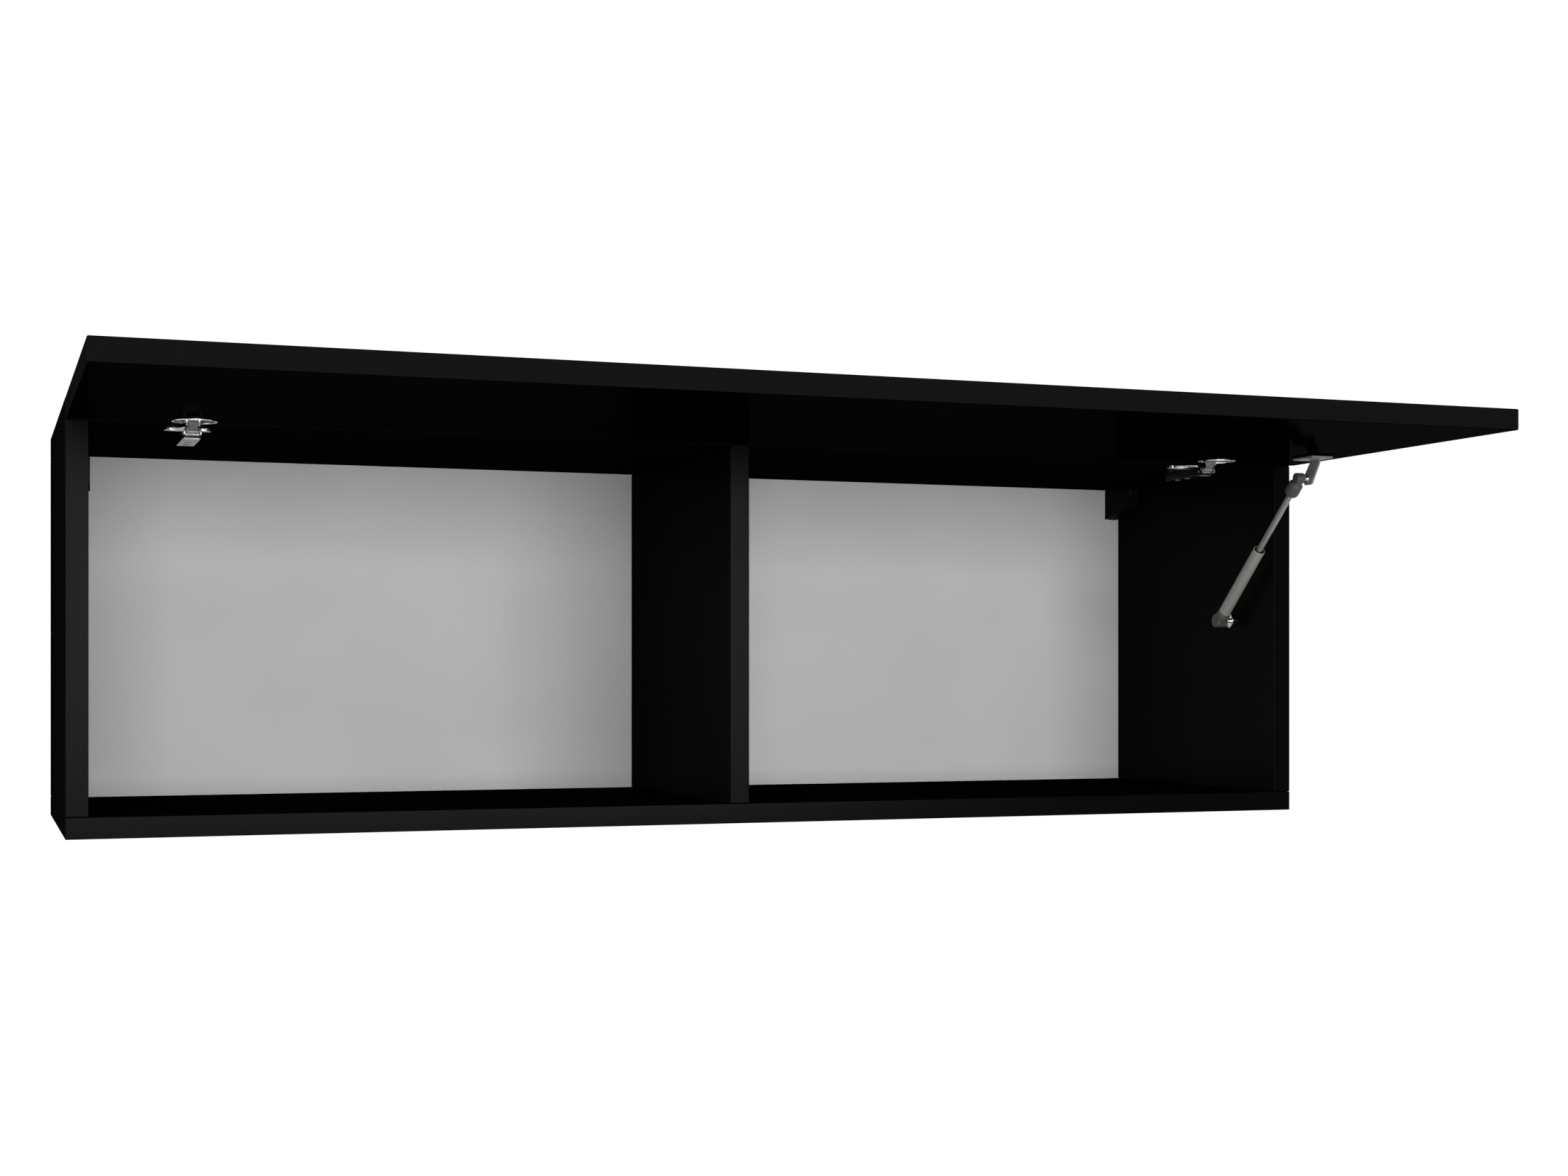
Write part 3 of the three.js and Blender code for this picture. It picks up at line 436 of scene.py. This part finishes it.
def paint_rod(surface):
    """Ground and chromed rod, with the faint rings that the grinding left."""
    rings = surface.noise(scale=1800.0, detail=2.0, stretch=(0.2, 1.0, 1.0))
    return {
        "Base Color": surface.mix(rings, *ROD_GREYS),
        "Roughness": rings.between(0.26, 0.34),
        "Normal": surface.bump(rings, depth=0.004 * MM, strength=0.4),
    }


def paint_black_steel(surface):
    """Screws blacked in hot oil: a dull, faintly blue black with rubbed edges."""
    rubbed = surface.noise(scale=1400.0, detail=3.0).step(0.60, 0.72)
    return {
        "Base Color": surface.mix(rubbed, *OILED_BLACKS),
        "Roughness": rubbed.between(0.45, 0.32),
        "Normal": surface.bump(surface.noise(scale=2400.0, detail=2.0), depth=0.01 * MM, strength=0.4),
    }


def paint_plastic(colour):
    """Moulded plastic with a spark eroded grain."""

    def paint(surface):
        grain = surface.noise(scale=2200.0, detail=3.0, roughness=0.6)
        return {
            "Base Color": surface.shade(colour, 0.08),
            "Roughness": grain.between(0.40, 0.56),
            "Normal": surface.bump(grain, depth=PLASTIC_GRAIN, strength=0.5),
        }

    return paint


PAINTS = {
    "black_board": (paint_black_board, {"Specular_IOR_Level": 0.0, "Coat_Roughness": 0.26}),
    "gloss_door": (paint_gloss_door, {"Specular_IOR_Level": 0.0, "Coat_Roughness": 0.08}),
    "back_board": (paint_back_board, {"Specular_IOR_Level": 0.15}),
    "nickel_steel": (paint_nickel(BRIGHT_NICKEL), {"Metallic": 1.0}),
    # This darker copy of the nickel is painted shade.
    "nickel_painted_shade": (paint_nickel(NICKEL_PAINTED_SHADE), {"Metallic": 1.0}),
    "zinc_steel": (paint_zinc, {"Metallic": 0.12, "Specular_IOR_Level": 0.05}),
    "black_steel": (paint_black_steel, {"Specular_IOR_Level": 0.05}),
    "strut_tube": (paint_tube, {"Metallic": 0.2, "Specular_IOR_Level": 0.1}),
    "rod_chrome": (paint_rod, {"Metallic": 0.7, "Specular_IOR_Level": 0.1}),
    "dark_plastic": (paint_plastic(DARK_GREY), {"Specular_IOR_Level": 0.2}),
    "hanger_plastic": (paint_plastic(PLASTIC_BLACK), {"Specular_IOR_Level": 0.02}),
}
FINISHES = {name: material(name, paint, **fixed) for name, (paint, fixed) in PAINTS.items()}


# ---- Meshes ----
FLAT_ANGLE = math.radians(1.0)
SHARP_ANGLE = math.radians(28.0)
MERGE_DISTANCE = 0.002 * MM
BEVEL = {"limit_method": "ANGLE", "angle_limit": SHARP_ANGLE, "segments": 2, "use_clamp_overlap": True}
FILLET_STEPS = 4
BALL_STEPS = 12
TURNED_SIDES = 64


def add_piece(mesh, name, body, slot, finish=None):
    """Puts a finished mesh on its body, in its slot's finish or another."""
    mesh.materials.clear()
    mesh.materials.append(FINISHES[finish or slot])
    piece = bpy.data.objects.new(name, mesh)
    bpy.context.scene.collection.objects.link(piece)
    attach(piece, body)
    return piece


def replace(mesh, name, *nodes, finish=None):
    """Puts a finished mesh in place of CAD nodes, on their body and in their slot."""
    piece = add_piece(mesh, name, NODES[nodes[0]]["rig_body"], SLOTS[nodes[0]], finish)
    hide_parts(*nodes)


def holder_of(mesh):
    """An object that holds a mesh while modifiers work on it."""
    holder = bpy.data.objects.new("holder", mesh)
    bpy.context.scene.collection.objects.link(holder)
    return holder


def plain_mesh(holder):
    """The mesh that a holder's modifiers make. The holder goes with them."""
    graph = bpy.context.evaluated_depsgraph_get()
    made = bpy.data.meshes.new_from_object(holder.evaluated_get(graph))
    bpy.data.objects.remove(holder)
    return made


def evaluated(mesh, *modifiers):
    """The mesh with these modifiers applied. Each is (type, settings)."""
    holder = holder_of(mesh)
    for kind, settings in modifiers:
        modifier = holder.modifiers.new(kind.lower(), kind)
        for name, value in settings.items():
            setattr(modifier, name, value)
    return plain_mesh(holder)


def smoothed(mesh):
    """Smooth over curves, sharp at corners, and flat where a face is large."""
    mesh.shade_smooth()
    mesh.set_sharp_from_angle(angle=SHARP_ANGLE)
    return evaluated(mesh, ("WEIGHTED_NORMAL", {"keep_sharp": True}))


def rounded(mesh, radius):
    """The mesh with its corners rounded off."""
    return smoothed(evaluated(mesh, ("BEVEL", {**BEVEL, "width": radius})))


def from_bmesh(shape, name):
    """A mesh of what a bmesh holds. The bmesh is freed."""
    mesh = bpy.data.meshes.new(name)
    shape.to_mesh(mesh)
    shape.free()
    return mesh


def welded_copy(node):
    """A CAD node's mesh with its loose triangles merged and its flat faces in one piece."""
    shape = bmesh.new()
    shape.from_mesh(NODES[node].data)
    bmesh.ops.remove_doubles(shape, verts=shape.verts, dist=MERGE_DISTANCE)
    bmesh.ops.dissolve_limit(shape, angle_limit=FLAT_ANGLE, verts=shape.verts, edges=shape.edges)
    return from_bmesh(shape, node)


def soften(node, radius, name, finish=None):
    """Replaces a CAD node by its own shape with rounded corners."""
    replace(rounded(welded_copy(node), radius), name, node, finish=finish)


def fillet(before, corner, after, radius):
    """The points of an arc that takes the corner off a profile."""
    arrive, leave = (before - corner), (after - corner)
    reach = min(radius, arrive.length / 2, leave.length / 2)
    start, end = corner + arrive.normalized() * reach, corner + leave.normalized() * reach
    points = []
    for step in range(FILLET_STEPS + 1):
        share = step / FILLET_STEPS
        points.append(start.lerp(corner, share).lerp(corner.lerp(end, share), share))
    return points


def filleted(profile, radius):
    """A profile in mm, with an arc at each inner corner. A third value of a point is its own radius."""
    corners = [Vector(point[:2]) for point in profile]
    radii = [point[2] if len(point) > 2 else radius for point in profile]
    inner = zip(corners, corners[1:], corners[2:], radii[1:])
    arcs = [point for corner_and_radius in inner for point in fillet(*corner_and_radius)]
    return [corners[0], *arcs, corners[-1]]


def turned(profile, place, direction, ring=False):
    """A piece turned about the line through place. Its profile lists (radius, distance) in mm."""
    shape = bmesh.new()
    verts = [shape.verts.new((radius * MM, 0.0, height * MM)) for radius, height in profile]
    ends = verts[1:] + verts[:1] if ring else verts[1:]
    edges = [shape.edges.new(pair) for pair in zip(verts, ends)]
    settings = {"cent": (0, 0, 0), "axis": tuple(Z_AXIS), "angle": math.tau, "steps": TURNED_SIDES}
    bmesh.ops.spin(shape, geom=verts + edges, **settings)
    bmesh.ops.remove_doubles(shape, verts=shape.verts, dist=MERGE_DISTANCE)
    bmesh.ops.recalc_face_normals(shape, faces=shape.faces)
    turn = direction.to_track_quat("Z", "Y").to_matrix().to_4x4()
    bmesh.ops.transform(shape, matrix=Matrix.Translation(place) @ turn, verts=shape.verts)
    return from_bmesh(shape, "turned")


def combined(mesh, *changes):
    """Adds meshes to a mesh or cuts them out of it. Each change is ("UNION" or "DIFFERENCE", mesh)."""
    tools = [(operation, holder_of(other)) for operation, other in changes]
    made = evaluated(mesh, *(("BOOLEAN", {"operation": how, "object": tool}) for how, tool in tools))
    for _, tool in tools:
        bpy.data.objects.remove(tool)
    return made


def ball_outline(radius, degrees):
    """Points of a profile that follow a ball round from its start on the axis."""
    angles = [math.radians(degrees * step / BALL_STEPS) for step in range(BALL_STEPS + 1)]
    return [(radius * math.sin(angle), -radius * math.cos(angle)) for angle in angles]


# ---- Screws ----
# The sizes of each kind of screw are in mm and in this order.
SCREW_SIZES = (
    "Head Radius",
    "Head Depth",
    "Neck Radius",
    "Neck Length",
    "Thread Radius",
    "Length",
    "Pitch",
)
JOINING_SCREW = (4.8, 1.2, 3.4, 17.0, 2.4, 48.0, 1.8)
HINGE_SCREW = (3.4, 1.1, 1.7, 1.5, 1.6, 12.0, 1.1)
SCREW_SIDES = 32
SCREW_SEED = 7
# Shares of the head's radius
HEAD_CHAMFER = 0.05
RECESS_SPAN = 1.2
RECESS_WIDTH = 0.24
RECESS_DEPTH = 0.4
# Shares of the thread's pitch
THREAD_DEPTH = 0.25
RIDGE_RADIUS = 0.4


def screw_tree():
    """Countersunk screws with a cross recess, one on each point."""
    tree = Shape("screws", SCREW_SIZES)
    head, head_depth, neck, neck_length, thread, length, pitch = tree.sizes
    chamfer = head * HEAD_CHAMFER
    cone_end = head_depth + head - neck
    neck_end = cone_end + neck_length
    core = thread - pitch * THREAD_DEPTH
    core_start = neck_end + neck - core
    point_start = length - core
    profile = [
        (0.0, 0.0),
        (head - chamfer, 0.0),
        (head, chamfer),
        (head, head_depth),
        (neck, cone_end),
        (neck, neck_end),
        (core, core_start),
        (core, point_start),
        (0.0, length),
    ]
    body = tree.turned(profile, SCREW_SIDES)
    recess = tree.cross(head * RECESS_SPAN, head * RECESS_WIDTH, head * RECESS_DEPTH)
    inputs = {"Mesh 1": body, "Mesh 2": recess}
    cut = tree.node("GeometryNodeMeshBoolean", {"operation": "DIFFERENCE"}, inputs)
    ridge = tree.spiral(core, core_start, point_start, pitch, pitch * RIDGE_RADIUS)
    tree.finished(tree.on_points(tree.joined(cut, ridge), SCREW_SEED))
    return tree


SCREWS = screw_tree()


def screws(heads, sizes, slot):
    """A mesh of screws. heads lists (middle of the head's face, direction)."""
    points = bpy.data.meshes.new("screws")
    points.from_pydata([place for place, _ in heads], [], [])
    aims = points.attributes.new("aim", "FLOAT_VECTOR", "POINT")
    aims.data.foreach_set("vector", [part for _, aim in heads for part in aim])
    holder = holder_of(points)
    modifier = holder.modifiers.new("screws", "NODES")
    modifier.node_group = SCREWS.tree
    modifier[SCREWS.identifiers["Finish"]] = FINISHES[slot]
    for name, value in zip(SCREW_SIZES, sizes):
        modifier[SCREWS.identifiers[name]] = value * MM
    return smoothed(plain_mesh(holder))


def head_of(node, aim):
    """A CAD screw's head, as (place, aim). It is at the end of its box that the aim leads away from."""
    low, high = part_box(node)
    middle = (low + high) / 2
    return middle - aim * abs((high - low).dot(aim)) / 2, aim


def replace_screws(name, words, sizes):
    """Replaces the CAD screws with these words in their names. Those of the top panel point down."""
    nodes = [node for node in NODES if words in node]
    aims = [-Z_AXIS if "_top_" in node else Z_AXIS for node in nodes]
    heads = [head_of(node, aim) for node, aim in zip(nodes, aims)]
    replace(screws(heads, sizes, SLOTS[nodes[0]]), name, *nodes)


replace_screws("joining_screws", "joining_screw", JOINING_SCREW)
replace_screws("hinge_plate_screws", "plate_screw", HINGE_SCREW)
replace_screws("strut_bracket_screws", "bracket_screw", HINGE_SCREW)

# ---- Boards ----
BOARD_SOFTNESS = 0.25 * MM
for board in [node for node in NODES if node.endswith(("_panel", "_divider"))]:
    soften(board, BOARD_SOFTNESS, f"{board}_board")

# ---- Cup hinges ----
SHEET_SOFTNESS = 0.25 * MM
# In mm
CUP_WALL = 1.2
CUP_DRAW = 3.0
CUP_CORNER = 0.3
COLLAR_WIDTH = 0.7
COLLAR_THICKNESS = 1.2
PIN_DOME = 0.35
ARM_SCREW = (2.6, 0.5, 1.6, 0.4, 1.5, 6.0, 0.7)
# In metres
ARM_SCREW_PLACES = (-0.329, -0.309)
ARM_SCREW_PROUD = 0.3 * MM


def hinge_cup(node):
    """A bowl drawn from sheet, with a rounded collar and a soft floor corner."""
    low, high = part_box(node)
    collar, depth = (high.x - low.x) / 2 / MM, (high.z - low.z) / MM
    radius = collar - COLLAR_WIDTH
    inner = radius - CUP_WALL
    profile = [
        (0, depth),
        (radius, depth, CUP_DRAW),
        (radius, COLLAR_THICKNESS),
        (collar, COLLAR_THICKNESS, 0.4),
        (collar, 0, 0.5),
        (inner, 0, 0.9),
        (inner, depth - CUP_WALL, CUP_DRAW - CUP_WALL / 2),
        (0, depth - CUP_WALL),
    ]
    middle = Vector(((low.x + high.x) / 2, (low.y + high.y) / 2, low.z))
    return smoothed(turned(filleted(profile, CUP_CORNER), middle, Z_AXIS))


def hinge_pin(node):
    """A riveted pin with domed heads."""
    low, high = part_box(node)
    radius, length = (high.z - low.z) / 2 / MM, (high.x - low.x) / MM
    middle = (low + high) / 2
    profile = [(0, 0), (radius, 0), (radius, length), (0, length)]
    return smoothed(turned(filleted(profile, PIN_DOME), Vector((low.x, middle.y, middle.z)), X_AXIS))


for side in SIDES:
    hinge = f"hinge_{side}"
    replace(hinge_cup(f"{hinge}_cup"), f"{hinge}_bowl", f"{hinge}_cup")
    # The links and arms wear the darker copy of the nickel, which paints shade on them.
    for link in ("outer_link", "inner_link"):
        soften(f"{hinge}_{link}", SHEET_SOFTNESS, f"{hinge}_{link}_bar", "nickel_painted_shade")
        replace(hinge_pin(f"{hinge}_{link}_pin"), f"{hinge}_{link}_rivet", f"{hinge}_{link}_pin")
    soften(f"{hinge}_arm", SHEET_SOFTNESS, f"{hinge}_arm_pressing", "nickel_painted_shade")
    soften(f"{hinge}_mounting_plate", SHEET_SOFTNESS, f"{hinge}_mounting_plate_pressing")

arm_boxes = [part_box(f"hinge_{side}_arm") for side in SIDES]
arm_heads = [
    (Vector(((low.x + high.x) / 2, y, low.z - ARM_SCREW_PROUD)), Z_AXIS)
    for low, high in arm_boxes
    for y in ARM_SCREW_PLACES
]
add_piece(screws(arm_heads, ARM_SCREW, "zinc_steel"), "hinge_arm_screws", "cabinet", "zinc_steel")

# ---- Gas strut ----
LOWER_BALL = Vector(JOINTS["strut_swing"]["pos_m"])
STRUT_LINE = Vector(JOINTS["strut_slide"]["axis"])
STUD_LOW, STUD_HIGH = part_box("strut_upper_ball_stud")
UPPER_BALL = Vector((LOWER_BALL.x, *((STUD_LOW + STUD_HIGH) / 2).yz))
# The rest of the strut is in mm. Distances along it start at its lower ball.
STRUT_LENGTH = (UPPER_BALL - LOWER_BALL).length / MM
PLAY = 0.3
METAL_CORNER = 0.2
BALL_RADIUS = 4.0
CYLINDER_START = 12.6
CYLINDER_END = 103.6
CYLINDER_RADIUS = 6.0
TUBE_BORE = CYLINDER_RADIUS - 1.2
FOOT_THICKNESS = 2.0
MOUTH_ROLL = 0.9
MOUTH_RADIUS = CYLINDER_RADIUS - 0.35
LIP_RADIUS = MOUTH_RADIUS - 0.6
ROD_RADIUS = 3.0
GUIDE_START = CYLINDER_END - 2.5
GUIDE_END = CYLINDER_END - 1.3
GUIDE_BORE = ROD_RADIUS + PLAY
GUIDE_CORNER = 0.05
SEAL_PLAY = 0.05
SEAL_END = CYLINDER_END - 0.35
SEAL_SHOULDER = SEAL_END - 0.3
SEAL_COLLAR = 0.9
SEAL_LIP = 0.35
PISTON_LENGTH = 6.0
SHOULDER_TO_BALL = 21.0
ROD_SHOULDER = STRUT_LENGTH - SHOULDER_TO_BALL
STUB_RADIUS = 2.2
STUB_LENGTH = 7.0


def strut_cylinder():
    """The tube, closed at its foot. Its mouth is rolled in to a thin lip round the seal."""
    foot = CYLINDER_START + FOOT_THICKNESS
    profile = [
        (0, CYLINDER_START - STUB_LENGTH),
        (STUB_RADIUS, CYLINDER_START - STUB_LENGTH),
        (STUB_RADIUS, CYLINDER_START),
        (CYLINDER_RADIUS, CYLINDER_START, 1.2),
        (CYLINDER_RADIUS, CYLINDER_END - MOUTH_ROLL, 0.8),
        (MOUTH_RADIUS, CYLINDER_END),
        (LIP_RADIUS, CYLINDER_END),
        (LIP_RADIUS, GUIDE_END, GUIDE_CORNER),
        (GUIDE_BORE, GUIDE_END, GUIDE_CORNER),
        (GUIDE_BORE, GUIDE_START, GUIDE_CORNER),
        (TUBE_BORE, GUIDE_START, GUIDE_CORNER),
        (TUBE_BORE, foot),
        (0, foot),
    ]
    return smoothed(turned(filleted(profile, METAL_CORNER), LOWER_BALL, STRUT_LINE))


def rod_seal():
    """The rubber wiper in the cylinder's mouth."""
    outer, inner = LIP_RADIUS - SEAL_PLAY, ROD_RADIUS + SEAL_PLAY
    low = GUIDE_END + SEAL_PLAY
    profile = [
        (inner, low),
        (outer, low),
        (outer, SEAL_SHOULDER),
        (inner + SEAL_COLLAR, SEAL_SHOULDER),
        (inner + SEAL_LIP, SEAL_END),
        (inner, SEAL_END),
    ]
    return smoothed(turned(profile, LOWER_BALL, STRUT_LINE, ring=True))


def piston_rod():
    """The rod, with its piston out of sight in the cylinder."""
    piston_radius, piston_end = TUBE_BORE - PLAY, GUIDE_START - PLAY
    profile = [
        (0, piston_end - PISTON_LENGTH),
        (piston_radius, piston_end - PISTON_LENGTH),
        (piston_radius, piston_end),
        (ROD_RADIUS, piston_end),
        (ROD_RADIUS, ROD_SHOULDER, 0.4),
        (STUB_RADIUS, ROD_SHOULDER),
        (STUB_RADIUS, ROD_SHOULDER + STUB_LENGTH),
        (0, ROD_SHOULDER + STUB_LENGTH),
    ]
    return smoothed(turned(filleted(profile, METAL_CORNER), LOWER_BALL, STRUT_LINE))


# ---- Ball joints of the strut ----
# In mm
BLOCK_RADIUS = 7.0
BLOCK_END_RADIUS = 6.2
BLOCK_FLARE = 2.0
BLOCK_TAPER = 2.5
SHANK_CORNER = 0.3
SOCKET_HEAD_CORNER = 0.6
OPENING_RADIUS = 3.6
OPENING_REACH = 9.0
OPENING_SETBACK = 1.0
CUT_OVERRUN = 1.0
STUD_NECK = 2.4
STUD_CORNER = 0.3
FLANGE_DISH = 0.8
FLANGE_RIM = 1.0
FLANGE_BEVEL = 0.4
STUD_THREAD = 2.75
LOWER_SOCKET = {
    "length": CYLINDER_START - PLAY,
    "head_radius": 7.0,
    "head_half": 6.0,
    "neck_radius": 6.0,
    "neck_length": 2.0,
}
UPPER_SOCKET = {
    "length": SHOULDER_TO_BALL - PLAY,
    "head_radius": 5.1,
    "head_half": 5.0,
    "neck_radius": 4.6,
    "neck_length": 6.0,
}
LOWER_STUD = {"flange_radius": 7.25, "flange_start": 10.6, "flange_end": 12.8, "thread_end": 25.0}
UPPER_STUD = {"flange_radius": 4.0, "flange_start": 7.2, "flange_end": 8.7, "thread_end": 8.7}


def ball_socket(ball, direction, length, head_radius, head_half, neck_radius, neck_length):
    """A moulded ball socket: a head across the strut, and a shank along it that widens to a block."""
    shank = [
        (0, 0),
        (neck_radius, 0),
        (neck_radius, neck_length, 0.8),
        (BLOCK_RADIUS, neck_length + BLOCK_FLARE, 1.0),
        (BLOCK_RADIUS, length - BLOCK_TAPER, 0.8),
        (BLOCK_END_RADIUS, length, 0.5),
        (0, length),
    ]
    head_end = head_half - OPENING_SETBACK
    head = [(0, -head_half), (head_radius, -head_half, 1.2), (head_radius, head_end, 0.8), (0, head_end)]
    hollow = ball_outline(BALL_RADIUS + PLAY, 180)
    opening = [(0, 0), (OPENING_RADIUS, 0), (OPENING_RADIUS, OPENING_REACH), (0, OPENING_REACH)]
    hole_start, hole_end = length - STUB_LENGTH - PLAY, length + CUT_OVERRUN
    hole_radius = STUB_RADIUS + PLAY
    stub_hole = [(0, hole_start), (hole_radius, hole_start), (hole_radius, hole_end), (0, hole_end)]
    body = combined(
        turned(filleted(shank, SHANK_CORNER), ball, direction),
        ("UNION", turned(filleted(head, SOCKET_HEAD_CORNER), ball, X_AXIS)),
        ("DIFFERENCE", turned(hollow, ball, X_AXIS)),
        ("DIFFERENCE", turned(opening, ball, X_AXIS)),
        ("DIFFERENCE", turned(stub_hole, ball, direction)),
    )
    return smoothed(body)


def ball_stud(ball, flange_radius, flange_start, flange_end, thread_end):
    """A ball on a neck, with a flange and perhaps a thread beyond it."""
    under_ball = 180 - math.degrees(math.asin(STUD_NECK / BALL_RADIUS))
    *round_ball, ball_end = ball_outline(BALL_RADIUS, under_ball)
    flange = [
        (STUD_NECK, flange_start + FLANGE_DISH),
        (flange_radius - FLANGE_RIM - FLANGE_BEVEL, flange_start + FLANGE_DISH),
        (flange_radius - FLANGE_RIM, flange_start, 0.2),
        (flange_radius, flange_start, 0.4),
        (flange_radius, flange_end, 0.4),
    ]
    thread = [(STUD_THREAD, flange_end, 0.2), (STUD_THREAD, thread_end, 0.6)]
    beyond = thread if thread_end > flange_end else []
    profile = filleted([ball_end, *flange, *beyond, (0, thread_end)], STUD_CORNER)
    return smoothed(turned([*round_ball, *profile], ball, X_AXIS))


lower_socket = ball_socket(LOWER_BALL, STRUT_LINE, **LOWER_SOCKET)
upper_socket = ball_socket(UPPER_BALL, -STRUT_LINE, **UPPER_SOCKET)
replace(strut_cylinder(), "strut_tube_rolled", "strut_cylinder")
add_piece(rod_seal(), "strut_rod_seal", "strut_tube", "hanger_plastic")
replace(piston_rod(), "strut_rod_ground", "strut_piston_rod")
replace(lower_socket, "strut_lower_socket_moulding", "strut_lower_socket")
replace(upper_socket, "strut_upper_socket_moulding", "strut_upper_socket")
replace(ball_stud(LOWER_BALL, **LOWER_STUD), "strut_lower_stud_turned", "strut_lower_ball_stud")
replace(ball_stud(UPPER_BALL, **UPPER_STUD), "strut_upper_stud_turned", "strut_upper_ball_stud")
soften("strut_door_bracket", SHEET_SOFTNESS, "strut_bracket_pressing")

# ---- Hangers ----
HOUSING_SOFTNESS = 0.4 * MM
HANGER_SCREW = (2.0, 0.4, 1.8, 0.5, 1.8, 28.0, 0.8)
for side in SIDES:
    soften(f"hanger_{side}_housing", HOUSING_SOFTNESS, f"hanger_{side}_case")
    soften(f"hanger_{side}_hook", SHEET_SOFTNESS, f"hanger_{side}_hook_bar")
adjusters = [f"hanger_{side}_adjusting_screw" for side in SIDES]
adjuster_heads = [head_of(node, Y_AXIS) for node in adjusters]
replace(screws(adjuster_heads, HANGER_SCREW, "black_steel"), "hanger_adjusting_screws", *adjusters)


# ---- Stage ----
def add_camera():
    camera = bpy.data.objects.new("camera", bpy.data.cameras.new("camera"))
    camera.location = CAMERA_PLACE
    camera.rotation_euler = (math.pi / 2, 0.0, CAMERA_TURN)
    camera.data.lens = CAMERA_LENS
    camera.data.shift_x, camera.data.shift_y = CAMERA_SHIFT
    bpy.context.scene.collection.objects.link(camera)
    bpy.context.scene.camera = camera


def add_lamp(name, place, size, power):
    """A wide soft lamp, which the camera doesn't see."""
    lamp = bpy.data.lights.new(name, "AREA")
    lamp.shape = "RECTANGLE"
    lamp.size, lamp.size_y = size
    lamp.energy = power
    light = bpy.data.objects.new(name, lamp)
    light.location = place
    aim = Vector(LAMP_TARGET) - Vector(place)
    light.rotation_euler = aim.to_track_quat("-Z", "Y").to_euler()
    light.visible_camera = False
    bpy.context.scene.collection.objects.link(light)


def seen_directly(tree):
    """1 for rays that show the background itself: from the camera, off metal or through glass."""
    rays = ("Is Camera Ray", "Is Glossy Ray", "Is Transmission Ray")
    camera, glossy, transmission = (tree.node("ShaderNodeLightPath", output=ray) for ray in rays)
    return camera.larger(glossy).larger(transmission)


def add_world():
    """A white background that lights the cabinet only dimly."""
    world = bpy.data.worlds.new("studio")
    world.use_nodes = True
    tree = Tree(world.node_tree)
    strength = seen_directly(tree).between(WORLD_FILL, 1.0)
    background = tree.node("ShaderNodeBackground", inputs={"Color": grey(1.0), "Strength": strength})
    tree.node("ShaderNodeOutputWorld", inputs={"Surface": background})
    bpy.context.scene.world = world


def paint_floor(surface):
    """Pale paint, which the camera sees lighter, so that it meets the white background."""
    camera = surface.node("ShaderNodeLightPath", output="Is Camera Ray")
    return {"Emission Color": camera * FLOOR_GLOW}


def add_floor():
    mesh = bpy.data.meshes.new("floor")
    half = FLOOR_SIZE / 2
    outline = ((-half, -half), (half, -half), (half, half), (-half, half))
    mesh.from_pydata([(x, y, FLOOR_HEIGHT) for x, y in outline], [], [(0, 1, 2, 3)])
    fixed = {"Base_Color": grey(FLOOR_GREY), "Roughness": FLOOR_ROUGHNESS, "Emission_Strength": 1.0}
    mesh.materials.append(material("floor", paint_floor, **fixed))
    floor = bpy.data.objects.new("floor", mesh)
    bpy.context.scene.collection.objects.link(floor)


add_camera()
for lamp_name, settings in LAMPS.items():
    add_lamp(lamp_name, **settings)
add_world()
add_floor()
bpy.context.scene.view_settings.view_transform = "Standard"
